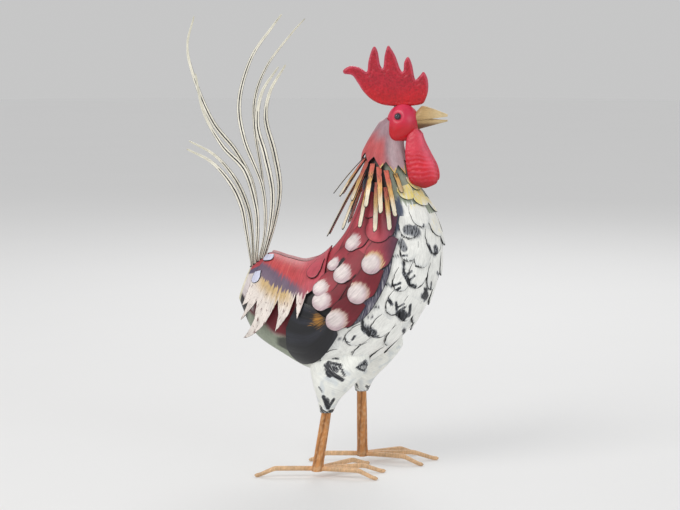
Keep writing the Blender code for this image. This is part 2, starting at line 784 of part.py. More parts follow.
def centre_on_origin():
    """Moves the whole bird so that the middle of its length and of its width are over the origin."""
    bpy.context.view_layer.update()
    solids = [obj for obj in bpy.data.objects if obj.type == "MESH" and not obj.hide_render]
    corners = np.array([obj.matrix_world @ v.co for obj in solids for v in obj.data.vertices])
    middle = (corners.min(axis=0) + corners.max(axis=0)) / 2
    for obj in bpy.data.objects:
        if obj.type == "MESH":
            obj.location.x -= middle[0]
            obj.location.y -= middle[1]


def build():
    clear_scene()
    rooms = make_body_room()
    neck_plug = add_solid("neck_plug", *loft(collar_rings(SHEET + FIT, COLLAR_TOP + 0.02)), "neck_paint")
    head_room = add_solid("head_room", *head_solid(FIT), "red_paint")
    make_body()
    make_collar()
    make_hackle()
    make_head(neck_plug)
    make_comb(head_room)
    make_beak(head_room)
    for side, hand, leg in ((1, "left", LEFT), (-1, "right", RIGHT)):
        make_wing(side, f"wing_{hand}")
        make_flight_feathers(side, f"flight_feathers_{hand}")
        make_saddle(side, f"saddle_{hand}")
        make_wattle(side, f"wattle_{hand}", head_room)
        make_eye(side, f"eye_{hand}", head_room)
        make_thigh(leg, side, f"thigh_{hand}", rooms)
        make_leg(leg, f"leg_{hand}")
        for toe, (heading, length) in leg["toes"].items():
            make_toe(leg, f"toe_{hand}_{toe}", heading, length)
    for number, (base_y, tip_y, breadth, line) in enumerate(PLUMES, 1):
        make_plume(number, base_y, tip_y, breadth, line)
    centre_on_origin()


build()
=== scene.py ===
import math

import bmesh
import bpy
import numpy as np
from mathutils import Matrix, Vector, noise
from mathutils.geometry import delaunay_2d_cdt


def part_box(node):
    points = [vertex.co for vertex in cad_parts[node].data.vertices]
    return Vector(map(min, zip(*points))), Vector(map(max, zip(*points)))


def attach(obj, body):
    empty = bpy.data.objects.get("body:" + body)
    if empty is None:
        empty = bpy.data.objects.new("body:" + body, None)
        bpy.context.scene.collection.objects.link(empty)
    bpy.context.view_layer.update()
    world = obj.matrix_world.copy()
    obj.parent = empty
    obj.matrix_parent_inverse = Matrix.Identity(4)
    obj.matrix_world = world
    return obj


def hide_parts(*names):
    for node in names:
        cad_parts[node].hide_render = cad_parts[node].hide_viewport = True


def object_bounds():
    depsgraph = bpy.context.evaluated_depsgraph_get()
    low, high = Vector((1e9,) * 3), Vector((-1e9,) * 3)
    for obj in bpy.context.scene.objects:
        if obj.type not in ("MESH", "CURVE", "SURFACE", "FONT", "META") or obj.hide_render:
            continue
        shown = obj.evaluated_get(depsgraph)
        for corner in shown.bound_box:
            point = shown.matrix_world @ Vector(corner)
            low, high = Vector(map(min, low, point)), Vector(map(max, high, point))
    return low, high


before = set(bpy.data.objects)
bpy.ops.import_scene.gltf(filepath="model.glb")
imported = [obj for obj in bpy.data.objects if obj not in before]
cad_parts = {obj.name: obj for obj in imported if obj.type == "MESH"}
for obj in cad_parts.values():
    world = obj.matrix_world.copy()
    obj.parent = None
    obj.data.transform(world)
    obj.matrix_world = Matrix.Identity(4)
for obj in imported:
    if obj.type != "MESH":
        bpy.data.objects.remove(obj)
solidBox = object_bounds()
print("frame loaded:", len(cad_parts), "solids")

# The drawing is in millimetres. Its beak ends at x 168 and its middle is y 0.
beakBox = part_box("beak_upper")
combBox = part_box("comb")
drawingShift = np.array([beakBox[1].x * 1000 - 168, (combBox[0].y + combBox[1].y) * 500, 0])
sheetThick = 1.2
bothSides = ((1, "Left"), (-1, "Right"))  # the way that each side lies along y, and its name
up = np.array([0, 0, 1])

# ridge x, ridge z, belly x, belly z and half width, from the rump to the neck
stations = np.array([
    (-87, 270, -103, 227, 20), (-63, 285, -83, 184, 40), (-37, 279, -44, 156, 52),
    (-13, 275, 0, 135, 60), (9, 286, 48, 142, 65), (27, 304, 97, 168, 67),
    (40, 323, 134, 210, 66), (50, 346, 156, 254, 61), (58, 370, 163, 298, 52),
    (60, 394, 153, 343, 39), (63, 418, 128, 387, 25), (73, 443, 112, 422, 15),
    (85, 464, 110, 449, 11),
], float)


def rgb(red, green, crestHighlight):  # a screen colour, 0 to 255, as the shader takes it
    return np.array([(c / 255) ** 2.2 for c in (red, green, crestHighlight)])


def soft(value, low, high):  # 0 up to low, 1 from high on, smooth between
    share = np.clip((np.asarray(value, float) - low) / (high - low), 0, 1)
    return share * share * (3 - 2 * share)


def mixPaint(first, second, share):
    share = np.asarray(share, float)[..., None]
    return np.asarray(first) * (1 - share) + np.asarray(second) * share


def chance(*keys):  # a steady number from 0 to 1
    value = math.sin(sum(k * w for k, w in zip(keys, (12.9898, 78.233, 37.719)))) * 43758.5453
    return value - math.floor(value)


def jagged(along, reach, seed):  # how far a hand-painted edge strays, along the strokes
    along = np.asarray(along, float)
    stray = np.array([noise.noise(Vector((w * 0.42, seed, 0))) + 0.6 * noise.noise(Vector((w * 1.1, seed, 5)))
                      for w in along.ravel()])
    return reach * stray.reshape(along.shape)


def lumpsAt(points, scale):  # slow even noise at each point of a grid
    return np.array([[noise.noise(Vector(p) * scale) for p in line] for line in points])


def bendThrough(p0, p1, p2, p3, f):  # from p1 to p2 on a smooth curve that comes from p0 and goes on to p3
    bend = (p2 - p0) * f + (2 * p0 - 5 * p1 + 4 * p2 - p3) * f**2 + (3 * p1 - p0 - 3 * p2 + p3) * f**3
    return p1 + bend / 2


def curveAt(rows, t):  # a smooth curve through the rows, with t counted in rows
    rows = np.asarray(rows, float)
    rows = rows[:, None] if rows.ndim == 1 else rows
    t = np.asarray(t, float)
    last = len(rows) - 1
    i = np.clip(np.floor(t), 0, last - 1).astype(int)
    f = (t - i)[..., None]
    p1, p2 = rows[i], rows[i + 1]
    p0 = np.where((i > 0)[..., None], rows[np.maximum(i - 1, 0)], 2 * p1 - p2)
    p3 = np.where((i + 2 <= last)[..., None], rows[np.minimum(i + 2, last)], 2 * p2 - p1)
    return bendThrough(p0, p1, p2, p3, f)


def lineAt(rows, t):  # straight from row to row
    rows = np.asarray(rows, float)
    places = np.arange(len(rows))
    return np.stack([np.interp(t, places, rows[:, k]) for k in range(rows.shape[1])], axis=-1)


def skin(u, v):  # the body's skin at a station and an angle from the ridge, positive on the left
    u, v = np.broadcast_arrays(np.asarray(u, float), np.asarray(v, float))
    row = curveAt(stations, u)
    turn = np.radians(v)
    return np.stack([
        (row[..., 0] + row[..., 2]) / 2 + (row[..., 0] - row[..., 2]) / 2 * np.cos(turn),
        row[..., 4] * np.sin(turn),
        (row[..., 1] + row[..., 3]) / 2 + (row[..., 1] - row[..., 3]) / 2 * np.cos(turn),
    ], axis=-1)


def skinSlopes(u, v):
    step = 0.02
    along = (skin(u + step, v) - skin(u - step, v)) / (2 * step)
    around = (skin(u, v + step) - skin(u, v - step)) / (2 * step)
    return along, around


def skinNormal(u, v):
    along, around = skinSlopes(u, v)
    normal = np.cross(along, around)
    return normal / np.linalg.norm(normal, axis=-1, keepdims=True)


def offSkin(u, v, lift):  # a place that stands off the skin
    u, v, lift = np.broadcast_arrays(np.asarray(u, float), np.asarray(v, float), np.asarray(lift, float))
    return skin(u, v) + skinNormal(u, v) * lift[..., None]


def backHeight(x, y):  # how high the back is there, found by halving
    low, high = -0.6, 4.0
    for _ in range(40):
        u = (low + high) / 2
        halfWidth = curveAt(stations, u)[..., 4]
        place = skin(u, math.degrees(math.asin(min(max(float(y / halfWidth), -1), 1))))
        low, high = (u, high) if place[0] < x else (low, u)
    return float(place[2])


# what is kept at each point of a piece: two paints, how much of the second shows, dark brushwork and painted
# shade, distance to the nearest cut edge in mm, and the direction that the brush went
usualMarks = {"paint": (0.6, 0.6, 0.6), "second": (0.6, 0.6, 0.6), "blend": 0.0, "dark": 0.0,
              "rim": 9.0, "grain": (0.0, 0.0, 0.0)}


def gridFaces(rows, columns, start=0):
    corner = (np.arange(rows - 1)[:, None] * columns + np.arange(columns - 1)[None, :]).ravel() + start
    return np.stack([corner, corner + 1, corner + columns + 1, corner + columns], axis=1).tolist()


def hoopFaces(rows, columns):  # a grid that is closed both ways
    faces = []
    for i in range(rows):
        n = (i + 1) % rows
        for k in range(columns):
            m = (k + 1) % columns
            faces.append([i * columns + k, i * columns + m, n * columns + m, n * columns + k])
    return faces


def roundAbout(count):  # the angles of the points once round a piece
    return np.arange(count)[None, :] * 2 * math.pi / count


def ballDirections(rows, around, cap):  # from the top of a ball down; cap is the angle left open at its poles
    tilt = np.linspace(cap, math.pi - cap, rows)[:, None]
    turn = roundAbout(around)
    return np.stack([np.sin(tilt) * np.cos(turn), np.sin(tilt) * np.sin(turn), np.cos(tilt) + 0 * turn], -1)


class Metalwork:
    def __init__(self, name):
        self.name = name
        self.points, self.faces, self.finishes, self.total = [], [], [], 0
        self.marks = {mark: [] for mark in usualMarks}

    def add(self, points, faces, finish=0, **given):
        points = np.asarray(points, float).reshape(-1, 3)
        given.setdefault("grain", points)
        for mark, usual in usualMarks.items():
            width = np.size(usual)
            value = np.asarray(given.get(mark, usual), float).reshape(-1, width)
            self.marks[mark].append(np.broadcast_to(value, (len(points), width)))
        self.points.append(points)
        self.faces += [[i + self.total for i in face] for face in faces]
        self.finishes += [finish] * len(faces)
        self.total += len(points)

    def addPlate(self, lower, upper, finish=0, blackBack=True, **given):  # a sheet between two grids
        rows, columns = lower.shape[:2]
        size = rows * columns
        twice = {}
        for mark, value in given.items():
            value = np.asarray(value, float)
            if value.shape[:2] == (rows, columns):
                value = np.concatenate([value.reshape(size, -1)] * 2)
            twice[mark] = value
        if np.any(blackBack):  # True, or how black the back is at each point
            dark = np.broadcast_to(np.asarray(twice.get("dark", 0.0)).reshape(-1, 1), (2 * size, 1)).copy()
            dark[:size] = np.maximum(dark[:size], np.broadcast_to(blackBack, (rows, columns)).reshape(-1, 1))
            twice["dark"] = dark
        faces = gridFaces(rows, columns) + gridFaces(rows, columns, size)
        rim = list(range(columns)) + [i * columns + columns - 1 for i in range(1, rows)]
        rim += [size - 1 - j for j in range(1, columns)] + [i * columns for i in range(rows - 2, 0, -1)]
        faces += [[a, b, b + size, a + size] for a, b in zip(rim, rim[1:] + rim[:1])]
        self.add(np.concatenate([lower.reshape(-1, 3), upper.reshape(-1, 3)]), faces, finish, **twice)

    def addTube(self, rings, finish=0, **given):  # a skin over rings of points, closed at both ends
        count, around = rings.shape[:2]
        points = np.concatenate([rings.reshape(-1, 3), rings[0].mean(0)[None], rings[-1].mean(0)[None]])
        for mark, value in given.items():
            value = np.asarray(value, float)
            if value.shape[:2] == (count, around):
                flat = value.reshape(count * around, -1)
                ends = [flat[:around].mean(0)[None], flat[-around:].mean(0)[None]]
                given[mark] = np.concatenate([flat, *ends])
        faces = []
        for i in range(count - 1):
            for j in range(around):
                k = (j + 1) % around
                faces.append([i * around + j, i * around + k, (i + 1) * around + k, (i + 1) * around + j])
        for first, middle in ((0, count * around), ((count - 1) * around, count * around + 1)):
            faces += [[first + j, first + (j + 1) % around, middle] for j in range(around)]
        self.add(points, faces, finish, **given)

    def weld(self, finishes, nodes, slot, crease=42):  # makes the piece; crease is in degrees
        mesh = bpy.data.meshes.new(self.name)
        mesh.from_pydata(((np.concatenate(self.points) + drawingShift) * 0.001).tolist(), [], self.faces)
        mesh.polygons.foreach_set("material_index", self.finishes)
        shell = bmesh.new()
        shell.from_mesh(mesh)
        bmesh.ops.recalc_face_normals(shell, faces=shell.faces)
        shell.to_mesh(mesh)
        shell.free()
        for mark, values in self.marks.items():
            values = np.concatenate(values)
            if mark in ("paint", "second"):
                values = np.concatenate([np.clip(values, 0, 1), np.ones((len(values), 1))], axis=1)
                mesh.attributes.new(mark, "FLOAT_COLOR", "POINT").data.foreach_set("color", values.ravel())
            elif mark == "grain":
                mesh.attributes.new(mark, "FLOAT_VECTOR", "POINT").data.foreach_set("vector", values.ravel())
            else:
                mesh.attributes.new(mark, "FLOAT", "POINT").data.foreach_set("value", values.ravel())
        mesh.shade_smooth()
        mesh.set_sharp_from_angle(angle=math.radians(crease))
        for finish in finishes:
            mesh.materials.append(finish)
        piece = bpy.data.objects.new(self.name, mesh)
        bpy.context.scene.collection.objects.link(piece)
        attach(piece, "root")
        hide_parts(*nodes)
        print("made", self.name, len(mesh.polygons), "faces")
        return piece


def wire(tree, socket, value):
    if isinstance(value, bpy.types.NodeSocket):
        tree.links.new(value, socket)
    else:
        socket.default_value = value


def readMark(tree, mark, output="Fac"):
    node = tree.nodes.new("ShaderNodeAttribute")
    node.attribute_name = mark
    return node.outputs[output]


def calc(tree, operation, *values):
    node = tree.nodes.new("ShaderNodeMath")
    node.operation = operation
    for socket, value in zip(node.inputs, values):
        wire(tree, socket, value)
    return node.outputs[0]


def swing(tree, share, amount):  # a noise that runs from 0 to 1, turned into one about nought
    return calc(tree, "MULTIPLY", calc(tree, "SUBTRACT", share, 0.5), amount)


def stretched(tree, vector, scale):
    node = tree.nodes.new("ShaderNodeVectorMath")
    node.operation = "MULTIPLY"
    wire(tree, node.inputs[0], vector)
    node.inputs[1].default_value = scale
    return node.outputs[0]


def mottle(tree, vector, scale, detail=3.0, roughness=0.55):
    node = tree.nodes.new("ShaderNodeTexNoise")
    wire(tree, node.inputs["Vector"], vector)
    node.inputs["Scale"].default_value = scale
    node.inputs["Detail"].default_value = detail
    node.inputs["Roughness"].default_value = roughness
    return node.outputs["Fac"]


def fade(tree, value, low, high, start=0.0, end=1.0):
    node = tree.nodes.new("ShaderNodeMapRange")
    node.interpolation_type = "SMOOTHSTEP"
    given = {"Value": value, "From Min": low, "From Max": high, "To Min": start, "To Max": end}
    for socket, amount in given.items():
        wire(tree, node.inputs[socket], amount)
    return node.outputs["Result"]


def overlay(tree, share, first, second):
    node = tree.nodes.new("ShaderNodeMix")
    node.data_type = "RGBA"
    wire(tree, node.inputs[0], share)
    wire(tree, node.inputs[6], first if isinstance(first, bpy.types.NodeSocket) else (*first, 1))
    wire(tree, node.inputs[7], second if isinstance(second, bpy.types.NodeSocket) else (*second, 1))
    return node.outputs[2]


def paintedSteel(name, **look):
    want = {"rough": 0.46, "brush": (0.55, 0.06, 1.0), "bite": 0.55, "streaks": 0.30, "patches": 0.22,
            "ink": rgb(30, 30, 36), "inkBite": 1.0, "edge": 0.55, "edgePaint": rgb(26, 24, 26), "chips": 0.0,
            "chipPaint": rgb(120, 112, 104), "relief": 0.35, "dimples": 0.0, "dimpleSize": 4.5, "coat": 0.0,
            "patchScale": 55.0, "speckScale": 900.0, "chipScale": 330.0, "grit": 0.22, "depth": 0.0012}
    want.update(look)
    material = bpy.data.materials.new(name)
    material.use_nodes = True
    tree = material.node_tree
    shader = tree.nodes["Principled BSDF"]
    grain = readMark(tree, "grain", "Vector")
    brushed = stretched(tree, grain, want["brush"])
    streak = mottle(tree, brushed, 1.0, 4.0, 0.62)
    stroke = mottle(tree, stretched(tree, brushed, (1.7, 2.1, 1.0)), 1.0, 2.0, 0.5)
    place = tree.nodes.new("ShaderNodeTexCoord").outputs["Object"]
    patch = mottle(tree, place, want["patchScale"], 4.0, 0.6)
    speck = mottle(tree, place, want["speckScale"], 2.0, 0.6)

    # the second paint comes in along the brush strokes
    coming = calc(tree, "ADD", swing(tree, streak, want["bite"]), readMark(tree, "blend"))
    colour = overlay(tree, fade(tree, coming, 0.38, 0.62), readMark(tree, "paint", "Color"),
                     readMark(tree, "second", "Color"))

    # strokes and patches of lighter and darker paint
    lighter, cloudy = swing(tree, streak, want["streaks"] * 3), swing(tree, patch, want["patches"] * 3)
    grit = swing(tree, speck, want["grit"])
    value = calc(tree, "ADD", calc(tree, "ADD", lighter, cloudy), grit)
    tone = tree.nodes.new("ShaderNodeHueSaturation")
    wire(tree, tone.inputs["Value"], calc(tree, "ADD", value, 1.0))
    wire(tree, tone.inputs["Color"], colour)
    colour = tone.outputs["Color"]

    # black brushwork and painted shadow, then bare or black cut edges, then chips
    inked = calc(tree, "ADD", swing(tree, stroke, want["inkBite"]), readMark(tree, "dark"))
    colour = overlay(tree, fade(tree, inked, 0.42, 0.60), colour, want["ink"])
    if want["edge"] > 0:
        rim = calc(tree, "ADD", readMark(tree, "rim"), swing(tree, speck, want["edge"] * 1.2))
        colour = overlay(tree, fade(tree, rim, want["edge"] * 0.5, want["edge"] * 1.4, 1.0, 0.0), colour,
                         want["edgePaint"])
    if want["chips"] > 0:
        chip = mottle(tree, place, want["chipScale"], 5.0, 0.7)
        chip = fade(tree, chip, 0.70 - want["chips"], 0.74 - want["chips"])
        colour = overlay(tree, chip, colour, want["chipPaint"])
    wire(tree, shader.inputs["Base Color"], colour)

    wire(tree, shader.inputs["Roughness"], calc(tree, "MULTIPLY_ADD", patch, 0.22, want["rough"] - 0.11))
    shader.inputs["Metallic"].default_value = 0.0
    shader.inputs["Coat Weight"].default_value = want["coat"]
    shader.inputs["Coat Roughness"].default_value = 0.22

    height = calc(tree, "ADD", calc(tree, "MULTIPLY", streak, 0.5), calc(tree, "MULTIPLY", speck, 0.18))
    if want["dimples"] > 0:
        cells = tree.nodes.new("ShaderNodeTexVoronoi")
        cells.feature = "SMOOTH_F1"
        cells.inputs["Scale"].default_value = 1000.0 / want["dimpleSize"]
        cells.inputs["Smoothness"].default_value = 0.6
        wire(tree, cells.inputs["Vector"], place)
        deep = calc(tree, "MULTIPLY", cells.outputs["Distance"], want["dimples"] * 3)
        height = calc(tree, "ADD", height, deep)
    bump = tree.nodes.new("ShaderNodeBump")
    bump.inputs["Strength"].default_value = want["relief"]
    bump.inputs["Distance"].default_value = want["depth"]
    wire(tree, bump.inputs["Height"], height)
    wire(tree, shader.inputs["Normal"], bump.outputs["Normal"])
    return material


whitePaint = paintedSteel("whiteFeatherPaint", streaks=0.20, patches=0.16, bite=0.7, rough=0.52,
                          brush=(0.50, 0.075, 1.0), inkBite=1.5, ink=rgb(38, 40, 46))
shellPaint = paintedSteel("whiteShellPaint", streaks=0.2, patches=0.2, rough=0.52, brush=(0.35, 0.35, 0.06),
                          inkBite=1.3, bite=0.5)
wingPaint = paintedSteel("maroonFeatherPaint", streaks=0.36, patches=0.24, bite=1.3, rough=0.46,
                         brush=(1.2, 0.07, 1.0), inkBite=0.7, ink=rgb(30, 16, 22))
flightPaint = paintedSteel("blackFeatherPaint", streaks=0.6, patches=0.3, bite=2.2, rough=0.36,
                           brush=(0.5, 0.07, 1.0), edge=0.4, coat=0.1)
saddlePaint = paintedSteel("saddlePaint", streaks=0.30, patches=0.2, bite=1.2, rough=0.48,
                           brush=(0.75, 0.05, 1.0), ink=rgb(104, 62, 60), inkBite=1.5)
collarPaint = paintedSteel("collarPaint", streaks=0.22, patches=0.2, bite=0.6, rough=0.5,
                           brush=(0.4, 0.4, 0.05), edge=0.5, dimples=0.12, dimpleSize=7)
hacklePaint = paintedSteel("hacklePaint", streaks=0.34, patches=0.3, bite=1.2, rough=0.5,
                           brush=(0.7, 0.06, 1.0), edge=0.5, ink=rgb(60, 40, 36), inkBite=1.5)
plumePaint = paintedSteel("plumePaint", streaks=0.20, patches=0.2, rough=0.5, brush=(0.9, 0.12, 1.0),
                          edge=0.0, inkBite=0.6)
crimsonPaint = paintedSteel("crimsonPaint", streaks=0.10, patches=0.25, rough=0.42, brush=(0.25, 0.25, 0.25),
                            edge=0.0, dimples=0.4, dimpleSize=4.2, relief=0.6, coat=0.12)
headPaint = paintedSteel("headPaint", streaks=0.08, patches=0.2, rough=0.4, brush=(0.2, 0.2, 0.2),
                         edge=0.0, dimples=0.1, dimpleSize=6, relief=0.4, coat=0.15)
beakPaint = paintedSteel("beakPaint", streaks=0.22, patches=0.2, rough=0.48, brush=(0.05, 0.6, 0.6), edge=0.0)
legPaint = paintedSteel("legPaint", streaks=0.35, patches=0.3, rough=0.44, brush=(0.6, 0.6, 0.05),
                        edge=0.0, chips=0.02, chipPaint=rgb(92, 56, 30), coat=0.1)
eyeGlaze = paintedSteel("eyeGlaze", streaks=0.1, patches=0.1, rough=0.18, edge=0.0, relief=0.05, coat=1.0)
print("paints mixed")


def featherShape(u, v, length, width, side, turn=0.0, tip=None, rows=26, columns=17, rag=0.0, seed=1.0):
    # a grid on the skin from the feather's root to its round tip, with lengths in mm from the tip and across
    along, around = skinSlopes(u + 0.4, side * v)
    toRump = -along / np.linalg.norm(along)
    toBelly = np.cross(skinNormal(u + 0.4, side * v), toRump) * -side
    turn = math.radians(turn)
    onSkin = np.linalg.pinv(np.stack([along, around], 1))
    toTip = toRump * math.cos(turn) + toBelly * math.sin(turn)
    toSide = toBelly * math.cos(turn) - toRump * math.sin(turn)
    (tipU, tipV), (sideU, sideV) = onSkin @ toTip, onSkin @ toSide
    radius = tip or width * 0.44
    bend = np.linspace(0.10, 1, 10) * math.pi / 2
    straight = np.linspace(radius, length, rows - 9)[1:]
    fromTip = np.concatenate([radius * (1 - np.cos(bend)), straight])[::-1, None]
    half = np.where(fromTip < radius, np.sqrt(np.maximum(fromTip * (2 * radius - fromTip), 0)),
                    radius + (width / 2 - radius) * soft(fromTip, radius, length * 0.45))
    half = half * (1 - 0.2 * soft(fromTip, length * 0.45, length))
    a = np.linspace(-1, 1, columns)[None, :] + 0 * fromTip
    across = a * half
    rim = np.where(fromTip < radius, radius - np.hypot(across, radius - fromTip), half - np.abs(across))
    fromTip = fromTip + 0 * a
    if rag:
        teeth = np.abs(((a * (2.2 + chance(seed, 1)) + chance(seed, 2)) % 1) - 0.5) * 2
        fine = np.abs(((a * (5.3 + 2 * chance(seed, 3)) + chance(seed, 4)) % 1) - 0.5) * 2
        fromTip = fromTip + rag * (teeth**1.5 * 0.75 + fine * 0.35) * soft(fromTip, radius * 2.2, 0)
    return {"u": u + sideU * across - tipU * fromTip, "v": side * v + sideV * across - tipV * fromTip,
            "share": np.clip(1 - fromTip / length, 0, 1), "fromTip": fromTip, "across": across, "rim": rim,
            "a": a, "radius": radius, "seed": seed, "size": (length, width), "tip": (u, side * v),
            "frame": (along, around, toTip, toSide)}


def washAndShadowUnder(feathers, u, v, reach=1.8, corner=7.0):
    # painted shadow and black wash along the tips of the feathers that lie over a place,
    # and painted shade deep in the corners between them
    line = np.zeros(np.broadcast(u, v).shape)
    clear = np.ones(line.shape)
    for feather in feathers:
        along, around, toTip, toSide = feather["frame"]
        length, width = feather["size"]
        radius = feather["radius"]
        turned = (v - feather["tip"][1] + 180) % 360 - 180
        step = (u - feather["tip"][0])[..., None] * along + turned[..., None] * around
        across, fromTip = step @ toSide, -(step @ toTip)
        half = radius + (width / 2 - radius) * soft(fromTip, radius, length * 0.45)
        gap = np.where(fromTip < radius, np.hypot(across, fromTip - radius) - radius, np.abs(across) - half)
        near = soft(fromTip, length * 0.75, length * 0.45)
        line = np.maximum(line, soft(gap, reach, 0.0) * near)
        clear = clear * (1 - 0.62 * soft(gap, corner, 0.0) * near)
    return np.maximum(line, soft(1 - clear, 0.66, 0.90))


def panelGrid(look):  # stations, angles and share of the way down a panel, and rows to its nearer end
    rows, columns = look["grid"]
    row = curveAt(look["sheet"], np.linspace(0, 6, rows))
    share = np.linspace(0, 1, columns)[None, :]
    ends = np.minimum(np.arange(rows), np.arange(rows)[::-1])[:, None]
    return row[:, :1] * np.ones_like(share), row[:, 1:2] + (row[:, 2:3] - row[:, 1:2]) * share, share, ends


def addFeather(work, shape, rootLift, tipLift, finish=0, crown=0.7, **given):
    lift = rootLift + (tipLift - rootLift) * shape["share"]
    lift = lift + crown * (0.4 - shape["a"] ** 2) * soft(shape["share"], 0.2, 0.8)
    lower = offSkin(shape["u"], shape["v"], lift)
    upper = offSkin(shape["u"], shape["v"], lift + sheetThick)
    grain = np.stack([shape["across"], -shape["fromTip"], np.full_like(lift, shape["seed"] * 17.3)], -1)
    given.setdefault("rim", shape["rim"])
    work.addPlate(lower, upper, finish, grain=grain, **given)


